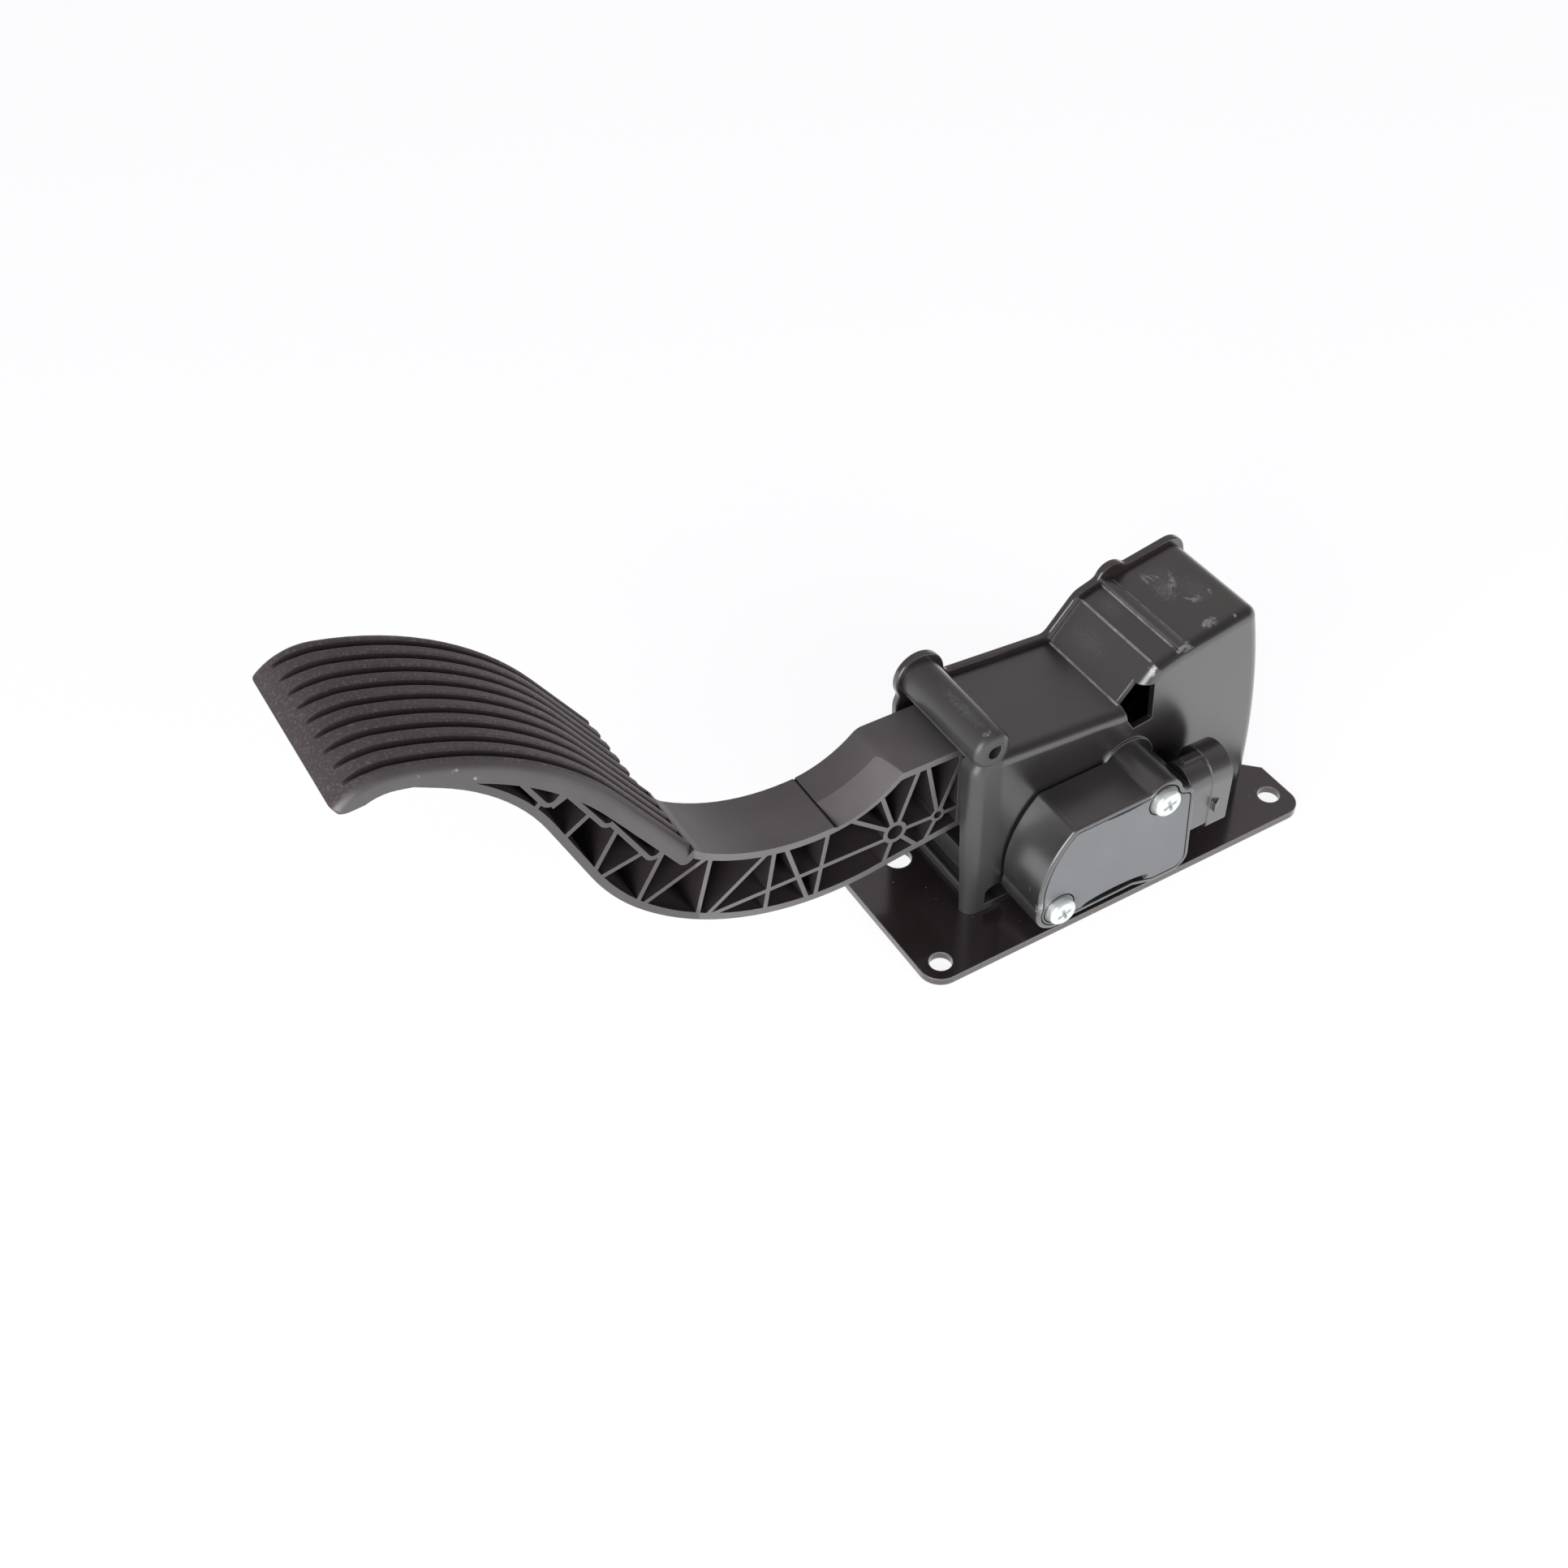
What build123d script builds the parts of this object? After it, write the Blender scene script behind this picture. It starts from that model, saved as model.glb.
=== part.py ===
from build123d import *
import os

os.makedirs("parts", exist_ok=True)

# Accelerator pedal. Millimetres, +Z up, +X to the rear, +Y away from the sensor.
# The origin is the front bolt hole of the plate, on the plate's underside.

# Fits
run_gap = 0.05        # radial running clearance of the shaft in its bushes
push_gap = 0.02       # radial clearance of parts pushed together
slip_gap = 0.2        # clearance round parts that drop into a recess
stop_gap = 0.3        # clearance left at a stop

# Steel bracket
sheet = 3.0
plate_front = -8.5
plate_rear = 162.0
plate_near = -8.2
plate_far = 59.0
wall_y = 58.0                 # near face of the upright wall
bend_r = 2.0                  # inside radius of the fold
wall_front = 23.0             # where the fold starts
wall_rear = 150.5             # where the fold ends
rim_proud = 2.5               # how far the wall stands proud of the housing
rim_hollow = 3.0              # radius in the hollows of the rim
relief_top = 8.0              # height of the notch under the wall's front edge
rear_cut = 16.5               # where the rear corner cut starts
front_corner = 8.4            # corner radii of the plate
rear_corner_r = 7.5
far_corner = 9.0
bolt_d = 8.5
far_bolt_d = 10.5
rear_bolt_at = (plate_rear - 7.7, 3.6)
far_bolt_at = (14.6, 50.6)
edge_round = 0.7              # pressed edge of the sheet

# Housing
house_near = 12.5
house_front = 19.5
house_rear = 148.3
house_wall = 2.6
house_round = 4.5
crease_r = 1.5                # crease at the foot of the slope
roof_corner_r = 5.0
front_lip_r = 7.0
rim_bend_r = 6.5              # bends of the rim over the slope
roof_front_z = 78.9
roof_foot = (83.2, 73.2)      # foot of the slope
roof_step = (96.0, 87.7)      # head of the slope
roof_mid = (106.0, 90.8)
roof_back = (139.2, 96.7)
rear_bulge = (147.4, 50.0)
front_boss_at = (27.0, 82.0)
front_boss_r = 7.5
boss_round = 3.0
boss_mark_r = 2.6
boss_mark_depth = 4.0
lug_at = (110.0, 90.9)        # lug on the wall's rim
lug_r = 4.3
bead_at = (107.1, 90.6)       # narrow bead across the roof
bead_r = 2.1
bead_end = 1.5
mouth_top = 75.9              # upper lip of the arm opening
mouth_low_y = 17.3            # near edge of the opening, at the floor
mouth_high_y = 21.6           # near edge of the opening, at the lip
floor_front = 24.6
ledge_front = 30.0
ledge_rear = 48.0
ledge_top = 15.6
window_depth = 5.9            # corner window, from the near face
corner_window_at = [(83.6, 74.5), (88.5, 80.8), (95.0, 81.2), (96.0, 64.4), (87.7, 63.5), (84.7, 68.5)]
foot_window_x = 33.0
foot_window_z = 8.4
foot_window_w = 11.4
foot_window_h = 5.2
foot_arch_h = 3.0
foot_window_depth = 13.5
pilot_r = 1.9
rear_screw_at = (141.6, 11.0)
front_screw_at = (55.0, 10.6)
roof_screw_at = (110.0, 86.0)
column_r = 4.4

# Pivot
pivot = (65.0, 31.5)
shaft_r = 5.0
bush_r = 7.0
bush_flange_r = 9.5
bush_flange_t = 1.5
bearing_boss_r = 10.5
bearing_end = 22.0
hub_r = 13.5
hub_play = 0.5                # end play of the hub between the bush flanges
clip_t = 1.2
clip_r = 8.5
clip_groove_r = 4.2
travel_deg = 15.0
shaft_near = 4.6
shaft_far = 66.5
bush_far = wall_y + sheet + 1.5
clip_y = bush_far + 0.5
stop_front = 36.0
stop_rear = 46.0
stop_w = 16.0

# Pedal arm
arm_near = 26.4
arm_far = 53.9
web_t = 3.0
flange_t = 2.8
rib_t = 1.7
tread_far = 95.8
tread_t = 6.0
tread_round = 4.0
tread_short = 7.0             # how much sooner the overhang ends than the arm's own tread
tread_corner = 9.0
nose_corner = 4.5
tread_start = (-189.5, 156.5)
tread_heading = 43.3
nose_r = 22.0
nose_turn = 56.3
crown_r = 109.0
crown_turn = 43.5
shin_len = 40.4
knee_r = 12.0
knee_turn = 20.5
neck_r = 80.0
neck_turn = 36.0
heel_r = 42.0
heel_turn = 40.0
brow_r = 6.0
brow_turn = 39.5
under_start = (-158.8, 150.8)
under_heading = -29.4
under_lead = 11.0
under_crown_r = 70.0
under_crown_turn = 37.5
under_shin_len = 30.0
under_knee_r = 85.0
under_knee_turn = 20.7
under_neck_r = 105.0
under_neck_turn = 54.7
groove_count = 9
groove_pitch = 7.15
groove_w = 4.4
groove_neck_w = 2.9           # width below the eased shoulders
groove_ease = 0.4
groove_floor_w = 1.4
groove_depth = 2.1
groove_lead = 13.0            # straight run-out at the nose
groove_stop = 3.0             # plain land at the lower end
step_turn = 5.0               # where the step lies on the heel, in degrees
step_x = -27.6
step_z = 64.1
crease_y = 39.6
crease_drop = 1.2
boss_ring_at = (-3.3, 47.9)
boss_ring_r = 4.8
pin_ring_at = (14.6, 47.0)
pin_ring_r = 2.9
tail_top = 25.0
tail_low = 17.5
tail_front = 111.0
tail_end = 136.5
scallop_depth = 9.0
lever_top_front = (22.0, 74.6)
lever_top_rear = (48.0, 66.0)
lever_low_front = (24.0, 37.0)
lever_low_rear = (46.0, 29.5)

# Springs
spring_x = 125.0
spring_y = (arm_near + arm_far) / 2
spring_roof = 87.0
outer_coil_r = 8.0
outer_wire = 2.0
inner_coil_r = 4.6
inner_wire = 1.3
outer_turns = 8
inner_turns = 10
seat_floor = 2.5
seat_r = 11.5
seat_rim = 3.5
seat_peg = 6.0
spigot_r = 3.0
spring_low = tail_top + seat_floor + stop_gap
spring_len = spring_roof - spring_low

# Sensor
sensor_near = -10.0
sensor_back = 11.5
case_front = (34.4, 18.5)
case_flank = (38.2, 41.0)
case_high_front = (47.3, 53.2)
case_high_mid = (81.0, 53.6)
case_high_rear = (100.6, 46.5)
case_low_rear = (103.2, 4.8)
upper_screw_at = (86.2, 47.6)
lower_screw_at = (43.5, 15.5)
upper_ear_r = 8.7
lower_ear_r = 9.7
ear_core_r = 6.2
case_round = 2.5
case_front_r = 3.0
case_low_r = 7.0
case_high_r = 5.0
case_edge_r = 1.0
pad_inset = 2.0
pad_ear_r = 11.5
seam_gap = 0.5                # open seam round the lid
well_depth = 6.0
seam_wells = [(68.5, 51.9, 10.0, 1.5), (69.0, 9.8, 15.0, 2.6)]
rim_t = 1.8
cover_t = 2.2
ledge_w = 2.0
rotor_bay_r = 14.0
rotor_bay_floor = 2.0
chamber_floor = 0.6
board_t = 1.6
seal_r = 17.5
seal_w = 2.0
seal_t = 1.4
rotor_front = 3.0
rotor_back = 10.9
rotor_r = 11.5
magnet_r = 9.5
magnet_w = 3.0
magnet_t = 1.4
board_front = 52.0
board_rear = 95.0
board_low = 13.0
board_high = 43.5

# Connector shroud
plug_half = 9.5
plug_y = sensor_near + plug_half   # its near face is flush with the case
plug_low = 20.7
plug_high = 52.2
neck_trim = 1.5
neck_step = 0.3               # how far the neck lies behind the mouth's near face
neck_start = 99.0
mouth_start = 109.0
mouth_end = 118.0
plug_wall = 1.8
plug_floor = 106.0
pin_w = 0.8
pin_pitch = 3.2
pin_count = 6
pin_y = 2.0
pin_tip = 114.0
pin_root = 91.6
pin_inner = -2.0
plug_mid = 33.2
latch_x = 110.0
latch_z = 32.4
latch_len = 3.5
latch_h = 2.0
latch_w = 4.0

# Screws
head_r = 5.5
head_h = 3.4
cross_len = 5.6
cross_w = 1.3
shank_r = 2.4
pilot_end = 24.0
wall_head_r = 5.0
wall_head_h = 3.0
wall_cross_len = 5.0
wall_cross_w = 1.2
wall_shank_r = 1.85
wall_shank_end = 40.0


def side(y):
    """Plane facing the near side at depth y, with X to the rear and Z up."""
    return Plane.XZ.offset(-y)


def house_face(inset, bend_r):
    """Side outline of the housing without its bosses, moved inward by inset; bend_r rounds the slope."""
    with BuildSketch() as face:
        with BuildLine():
            Polyline(
                (house_front, sheet), (house_front, roof_front_z), roof_foot, roof_step, roof_mid, roof_back,
            )
            ThreePointArc(roof_back, rear_bulge, (house_rear, sheet))
            Line((house_rear, sheet), (house_front, sheet))
        make_face()
        corners = face.vertices()
        high = corners.filter_by(lambda v: v.Y > roof_mid[1] - 1)
        fillet(high, roof_corner_r)
        if bend_r:
            fillet(face.vertices().sort_by_distance(roof_step)[0], bend_r)
        fillet(face.vertices().sort_by_distance(roof_foot)[0], max(bend_r, crease_r))
        fillet(face.vertices().sort_by_distance((house_front, roof_front_z))[0], front_lip_r)
        if inset:
            offset(amount=-inset, mode=Mode.REPLACE)
    return face.sketch


def sensor_face(inset):
    """Side outline of the sensor case with its two screw ears, moved inward by inset."""
    with BuildSketch() as face:
        with BuildLine():
            ThreePointArc(case_front, case_flank, case_high_front)
            Polyline(
                case_high_front, case_high_mid, case_high_rear, case_low_rear,
                (86.0, 5.0), (77.0, 7.9), (44.0, 7.4), case_front,
            )
        make_face()
        fillet(face.vertices().sort_by_distance(case_high_front)[0], case_front_r)
        fillet(face.vertices().sort_by_distance(case_low_rear)[0], case_low_r)
        fillet(face.vertices().sort_by_distance(case_high_rear)[0], case_high_r)
        with Locations(upper_screw_at):
            Circle(upper_ear_r)
        with Locations(lower_screw_at):
            Circle(lower_ear_r)
        # Growing, shrinking and growing back rounds every corner left
        for step in (case_round, -2 * case_round, case_round - inset):
            offset(amount=step, mode=Mode.REPLACE)
    return face.sketch


def wells():
    """Lens-shaped hollows between lid and rim, along the upper and the lower edge."""
    with BuildSketch() as face:
        for x, z, half_len, half_w in seam_wells:
            with Locations((x, z)):
                Ellipse(half_len, half_w)
        add(sensor_face(rim_t), mode=Mode.INTERSECT)
    return face.sketch


def plug_face(trim, shift):
    """Section of the connector shroud in Y and Z, half-round on top, inward by trim and near by shift."""
    half = plug_half - trim
    low = plug_low + trim
    middle = plug_y - shift
    spring_line = plug_high - plug_half
    with BuildSketch() as face:
        with BuildLine():
            box = Polyline(
                (middle + half, spring_line), (middle + half, low),
                (middle - half, low), (middle - half, spring_line),
            )
            ThreePointArc(box @ 1, (middle, spring_line + half), box @ 0)
        make_face()
        fillet(face.vertices().group_by(Axis.Y)[0], 2.0)
    return face.sketch


def tread_run(depth, skip):
    """Edges along the tread at a depth below its face: nose, crown and shin, less the first skip."""
    heading = Vector(1, 0, 0).rotate(Axis.Z, tread_heading)
    start = Vector(*tread_start) + heading.rotate(Axis.Z, -90) * depth
    with BuildLine():
        nose = JernArc(start, heading, nose_r - depth, -nose_turn)
        crown = JernArc(nose @ 1, nose % 1, crown_r - depth, -crown_turn)
        shin = Line(crown @ 1, crown @ 1 + (crown % 1) * shin_len)
    return [nose, crown, shin][skip:]


def groove_run():
    """Edges along the tread grooves: level in from the nose, over the crown, and down the shin."""
    nose, crown, shin = tread_run(0, 0)
    top = nose.arc_center + Vector(0, nose_r)
    with BuildLine() as run:
        Line(top - Vector(groove_lead, 0), top)
        JernArc(top, (1, 0), nose_r, tread_heading - nose_turn)
        add(crown)
        Line(shin @ 0, shin @ 0 + (shin % 0) * (shin_len - groove_stop))
    return run.edges()


def crease_run():
    """Edges along the arm's top from the step to the housing: up the heel and straight on past the brow."""
    shin = tread_run(0, 2)[0]
    with BuildLine(mode=Mode.PRIVATE):
        knee = JernArc(shin @ 1, shin % 1, knee_r, knee_turn)
        neck = JernArc(knee @ 1, knee % 1, neck_r, neck_turn)
        lead = JernArc(neck @ 1, neck % 1, heel_r, step_turn)
    with BuildLine() as run:
        heel = JernArc(lead @ 1, lead % 1, heel_r, heel_turn - step_turn)
        Line(heel @ 1, heel @ 1 + (heel % 1) * 5)
    return run.edges()


def arm_face():
    """Side outline of the arm from the crown of the tread to the tail behind the pivot."""
    under = Vector(1, 0, 0).rotate(Axis.Z, under_heading)
    crown, shin = tread_run(tread_round, 1)
    tread_end = tread_run(0, 2)[0]
    with BuildSketch() as face:
        with BuildLine():
            add(crown)
            add(shin)
            Line(shin @ 1, tread_end @ 1)
            knee = JernArc(tread_end @ 1, tread_end % 1, knee_r, knee_turn)
            neck = JernArc(knee @ 1, knee % 1, neck_r, neck_turn)
            heel = JernArc(neck @ 1, neck % 1, heel_r, heel_turn)
            brow = JernArc(heel @ 1, heel % 1, brow_r, -brow_turn)
            lead = Line(Vector(*under_start) - under * under_lead, under_start)
            low_crown = JernArc(under_start, under, under_crown_r, -under_crown_turn)
            low_shin = Line(low_crown @ 1, low_crown @ 1 + (low_crown % 1) * under_shin_len)
            low_knee = JernArc(low_shin @ 1, low_shin % 1, under_knee_r, under_knee_turn)
            low_neck = JernArc(low_knee @ 1, low_knee % 1, under_neck_r, under_neck_turn)
            Polyline(
                brow @ 1, lever_top_front, lever_top_rear, (pivot[0] + 7, pivot[1] + 11.5),
                (tail_front, tail_top), (tail_end, tail_top), (tail_end, tail_low),
                (tail_front - 5, tail_low - 5), (pivot[0] + 5, pivot[1] - 12.5),
                (pivot[0] - 5, pivot[1] - 12), lever_low_rear, lever_low_front, low_neck @ 1,
            )
            Line(lead @ 0, crown @ 0)
        make_face()
    return face.sketch


def blade(gap):
    """Outline of one bent terminal in X and Y, grown by gap."""
    with BuildSketch() as face:
        with Locations(((pin_root + pin_tip) / 2, pin_y)):
            Rectangle(pin_tip - pin_root + 2 * gap, pin_w + 2 * gap)
        with Locations((pin_root + pin_w / 2, (pin_y + pin_inner) / 2)):
            Rectangle(pin_w + 2 * gap, pin_y - pin_inner + pin_w + 2 * gap)
    return face.sketch


def level_at(start, end, x):
    """Height at x on the straight line through two points."""
    return start[1] + (end[1] - start[1]) * (x - start[0]) / (end[0] - start[0])


def pressed(point):
    """Where a point of the arm is at full travel."""
    arm = Vector(point[0] - pivot[0], point[1] - pivot[1], 0).rotate(Axis.Z, travel_deg)
    return (pivot[0] + arm.X, pivot[1] + arm.Y)


def scallop_face(first, low, last):
    """Outline of one cup under the tread: a corner hanging down, rounded at its foot."""
    with BuildSketch() as face:
        Polygon(first, low, last, align=None)
        fillet(face.vertices().sort_by_distance(low)[0], 2.0)
    return face.sketch


def strip(start, end, width):
    """Straight bar outline between two points."""
    run = Vector(*end) - Vector(*start)
    middle = (Vector(*start) + Vector(*end)) * 0.5
    turn = Vector(1, 0, 0).get_signed_angle(run, Vector(0, 0, 1))
    return Pos(middle.X, middle.Y) * Rot(0, 0, turn) * Rectangle(run.length, width)


# Base bracket: plate and upright wall folded from one sheet
with BuildPart() as base_bracket:
    with BuildSketch(Plane.YZ.offset(plate_front)) as fold:
        with BuildLine():
            l1 = Polyline((plate_near, sheet), (plate_near, 0), (wall_y - bend_r, 0))
            l2 = RadiusArc(l1 @ 1, (wall_y + sheet, sheet + bend_r), -(sheet + bend_r))
            l3 = Polyline(l2 @ 1, (wall_y + sheet, 120), (wall_y, 120), (wall_y, sheet + bend_r))
            l4 = RadiusArc(l3 @ 1, (wall_y - bend_r, sheet), bend_r)
            Line(l4 @ 1, l1 @ 0)
        make_face()
    extrude(amount=plate_rear - plate_front)
    with BuildSketch(side(wall_y + sheet + 1)) as silhouette:
        add(house_face(0, rim_bend_r))
        with Locations(front_boss_at):
            Circle(front_boss_r)
        with Locations(lug_at):
            Circle(lug_r)
        offset(amount=rim_proud + rim_hollow, mode=Mode.REPLACE)
        offset(amount=-rim_hollow, mode=Mode.REPLACE)
        with Locations((wall_front - 30, -42 + relief_top)):
            Rectangle(60, 84, mode=Mode.SUBTRACT)
        with Locations(((wall_front + wall_rear) / 2, relief_top)):
            Rectangle(wall_rear - wall_front, 2 * relief_top)
        with Locations((wall_rear, -10)):
            Rectangle(20, 90, align=(Align.MIN, Align.MIN), mode=Mode.SUBTRACT)
        with Locations(((plate_front + plate_rear) / 2, sheet / 2)):
            Rectangle(plate_rear - plate_front, sheet)
    extrude(amount=wall_y + sheet + 2 - plate_near, mode=Mode.INTERSECT)
    with BuildSketch(Plane.XY) as front_clear:
        with Locations(((plate_front + wall_front) / 2, wall_y + 2)):
            Rectangle(wall_front - plate_front, 10)
    extrude(amount=sheet + 1, mode=Mode.SUBTRACT)
    with BuildSketch(Plane.XY) as front_tongue:
        with Locations(((plate_front + wall_front - 1) / 2, plate_far - 4)):
            Rectangle(wall_front - 1 - plate_front, 8)
    extrude(amount=sheet)
    with BuildSketch(Plane.XY) as slit:
        with Locations((wall_front - 0.5, plate_far - 2)):
            Rectangle(1, 7)
    extrude(amount=sheet, mode=Mode.SUBTRACT)
    with BuildSketch(Plane.XY) as rear_corner:
        with BuildLine():
            Polyline(
                (plate_rear, rear_cut), (wall_rear, rear_cut + plate_rear - wall_rear),
                (wall_rear, wall_y + 4), (plate_rear + 1, wall_y + 4), (plate_rear + 1, rear_cut), close=True,
            )
        make_face()
    extrude(amount=relief_top, mode=Mode.SUBTRACT)
    upright = base_bracket.edges().filter_by(Axis.Z)
    fillet(upright.sort_by_distance((plate_front, plate_near, 0))[0], front_corner)
    upright = base_bracket.edges().filter_by(Axis.Z)
    fillet(upright.sort_by_distance((plate_rear, plate_near, 0))[0], rear_corner_r)
    upright = base_bracket.edges().filter_by(Axis.Z)
    fillet(upright.sort_by_distance((plate_front, plate_far, 0))[0], far_corner)
    with Locations((0, 0, 0), (*rear_bolt_at, 0)):
        Cylinder(bolt_d / 2, 4 * sheet, mode=Mode.SUBTRACT)
    with Locations((*far_bolt_at, 0)):
        Cylinder(far_bolt_d / 2, 4 * sheet, mode=Mode.SUBTRACT)
    rim = base_bracket.edges().filter_by(lambda e: e.center().Z > roof_foot[1] - 3)
    fillet(rim.filter_by(lambda e: abs(e.center().Y - wall_y - sheet / 2) > 1), edge_round)
    with BuildSketch(side(wall_y + sheet)) as wall_holes:
        with Locations(pivot):
            Circle(bush_r + push_gap)
        with Locations(front_boss_at, roof_screw_at, rear_screw_at, front_screw_at):
            Circle(wall_shank_r + slip_gap)
    extrude(amount=sheet, mode=Mode.SUBTRACT)
base_bracket.part.label = "base_bracket"
export_step(base_bracket.part, "parts/base_bracket.step")

# Housing: moulded shell, open to the wall and at the front for the arm
with BuildPart() as housing:
    with BuildSketch(side(wall_y)) as shell:
        add(house_face(0, 0))
    extrude(amount=wall_y - house_near)
    near_rim = housing.faces().sort_by(Axis.Y)[0].edges().filter_by(lambda e: e.center().Z > sheet + 1)
    fillet(near_rim, house_round)
    with BuildSketch(side(wall_y)) as hollow:
        add(house_face(house_wall, 0))
    extrude(amount=wall_y - house_near - house_wall, mode=Mode.SUBTRACT)
    with BuildSketch(Plane.YZ.offset(house_front - 1)) as mouth:
        with BuildLine():
            Polyline(
                (mouth_low_y, sheet + house_wall), (wall_y + 1, sheet + house_wall),
                (wall_y + 1, mouth_top), (mouth_high_y, mouth_top), close=True,
            )
        make_face()
    extrude(amount=floor_front - house_front + 4, mode=Mode.SUBTRACT)
    with BuildSketch(Plane.XY.offset(sheet)) as floor_mouth:
        with Locations(((house_front + floor_front) / 2 - 1, (mouth_low_y + wall_y) / 2 + 1)):
            Rectangle(floor_front - house_front + 2, wall_y - mouth_low_y + 2)
    extrude(amount=house_wall, mode=Mode.SUBTRACT)
    # Screw columns and bosses
    with BuildSketch(side(wall_y)) as columns:
        with Locations(roof_screw_at, rear_screw_at, front_screw_at):
            Circle(column_r)
    extrude(amount=wall_y - house_near - 1)
    with BuildSketch(side(wall_y)) as roof_bead:
        with Locations(bead_at):
            Circle(bead_r)
    extrude(amount=wall_y - house_near - bead_end)
    with BuildSketch(Plane.YZ.offset(front_boss_at[0])) as boss_half:
        with Locations((house_near, front_boss_at[1])):
            Rectangle(wall_y - house_near, front_boss_r, align=(Align.MIN, Align.MIN))
        fillet(boss_half.vertices().group_by(Axis.X)[0].sort_by(Axis.Y)[-1], boss_round)
    revolve(axis=Axis((front_boss_at[0], 0, front_boss_at[1]), (0, 1, 0)))
    # Bearing boss and sensor screw columns behind the near wall
    with BuildSketch(side(bearing_end)) as bearing:
        with Locations(pivot):
            Circle(bearing_boss_r)
        with Locations(upper_screw_at, lower_screw_at):
            Circle(column_r)
    extrude(amount=bearing_end - house_near - house_wall / 2)
    with BuildSketch(side(pilot_end + 1.5)) as long_columns:
        with Locations(upper_screw_at, lower_screw_at):
            Circle(column_r)
    extrude(amount=pilot_end + 1.5 - house_near - house_wall / 2)
    # Raised pad that the sensor sits on
    with BuildSketch(side(house_near + 1)) as sensor_pad:
        add(sensor_face(pad_inset))
        with Locations(upper_screw_at):
            Circle(pad_ear_r)
    extrude(amount=house_near + 1 - sensor_back)
    # Stop ledge and spring roof
    with BuildSketch(side(wall_y - 3)) as stop_ledge:
        with Locations(((ledge_front + ledge_rear) / 2, (sheet + ledge_top) / 2)):
            Rectangle(ledge_rear - ledge_front, ledge_top - sheet)
    extrude(amount=wall_y - 3 - house_near - house_wall / 2)
    with BuildSketch(side(wall_y - 2)) as floor_lip:
        with Locations((floor_front + 0.9, sheet + house_wall)):
            Circle(0.9)
    extrude(amount=wall_y - 2 - mouth_low_y)
    with BuildSketch(Plane.XY.offset(spring_roof)) as roof_pad:
        with Locations((spring_x, spring_y)):
            Circle(outer_coil_r + 2)
    extrude(until=Until.NEXT)
    with Locations((spring_x, spring_y, spring_roof)):
        Cylinder(spigot_r, 6, align=(Align.CENTER, Align.CENTER, Align.MAX))
    # Openings, pilot holes and bores
    with BuildSketch(side(house_near + window_depth)) as corner_window:
        with BuildLine():
            Polyline(*corner_window_at, close=True)
        make_face()
    extrude(amount=window_depth + 1, mode=Mode.SUBTRACT)
    with BuildSketch(side(house_near + foot_window_depth)) as foot_window:
        with Locations((foot_window_x, foot_window_z)):
            Rectangle(foot_window_w, foot_window_h)
        with Locations((foot_window_x, foot_window_z + foot_window_h / 2)):
            Ellipse(foot_window_w / 2, foot_arch_h)
    extrude(amount=foot_window_depth + 1, mode=Mode.SUBTRACT)
    with BuildSketch(side(wall_y)) as wall_pilots:
        with Locations(front_boss_at, roof_screw_at, rear_screw_at, front_screw_at):
            Circle(pilot_r)
    extrude(amount=wall_y - wall_shank_end + 2, mode=Mode.SUBTRACT)
    with BuildSketch(side(house_near + boss_mark_depth)) as boss_mark:
        with Locations(front_boss_at):
            Circle(boss_mark_r)
            Rectangle(boss_mark_r, boss_mark_r, align=(Align.MIN, Align.MIN))
    extrude(amount=boss_mark_depth + 1, mode=Mode.SUBTRACT)
    with BuildSketch(side(bearing_end)) as bearing_bore:
        with Locations(pivot):
            Circle(bush_r + push_gap)
    extrude(amount=bearing_end - sensor_back, mode=Mode.SUBTRACT)
    with BuildSketch(side(pilot_end)) as sensor_pilots:
        with Locations(upper_screw_at, lower_screw_at):
            Circle(shank_r + push_gap)
    extrude(amount=pilot_end - sensor_back, mode=Mode.SUBTRACT)
    # Clearance over the inside of the fold
    fold_edge = housing.edges().filter_by(Axis.X).sort_by_distance((80, wall_y, sheet))[0]
    chamfer(fold_edge, bend_r + 0.3)
housing.part.label = "housing"
export_step(housing.part, "parts/housing.step")

# Pedal arm: ribbed S-shaped lever with the grooved tread in one moulding
ribs = [
    ((-128.4, 130.6), (-134.5, 125.5)),
    ((-121.0, 128.0), (-126.5, 125.8)),
    ((-114.8, 116.7), (-124.5, 111.0)),
    ((-106.2, 105.9), (-116.5, 90.5)),
    ((-97.6, 90.9), (-116.0, 87.5)),
    ((-91.6, 87.5), (-103.5, 68.0)),
    ((-77.0, 75.8), (-102.5, 66.8)),
    ((-75.0, 75.5), (-82.0, 49.5)),
    ((-54.0, 65.5), (-79.5, 48.0)),
    ((-51.2, 65.5), (-56.2, 37.5)),
    ((-46.8, 63.5), (-39.2, 34.5)),
    ((-30.0, 64.0), (-36.2, 33.0)),
    ((-77.0, 48.2), (-4.0, 46.2)),
    ((-22.0, 63.8), boss_ring_at),
    ((-9.2, 69.0), boss_ring_at),
    ((6.2, 73.5), boss_ring_at),
    ((-8.4, 33.5), boss_ring_at),
    ((6.4, 36.0), boss_ring_at),
    (boss_ring_at, pin_ring_at),
    ((9.5, 74.0), pin_ring_at),
    ((24.0, 70.0), pin_ring_at),
    ((8.8, 36.0), pin_ring_at),
    ((23.5, 46.8), pin_ring_at),
    ((23.4, 36.0), (23.4, 75.0)),
    ((47.0, 67.5), (52.0, 24.0)),
    ((104.0, 30.0), (102.0, 11.0)),
]
scallops = [
    ((-133.5, 139.5), (-127.0, 126.8), (-121.5, 131.0)),
    ((-121.0, 130.0), (-109.4, 108.8), (-103.8, 112.5)),
    ((-109.5, 113.0), (-95.6, 86.4), (-89.0, 90.5)),
]
tread_path = Plane.XZ * Wire(tread_run(0, 0))
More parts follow.
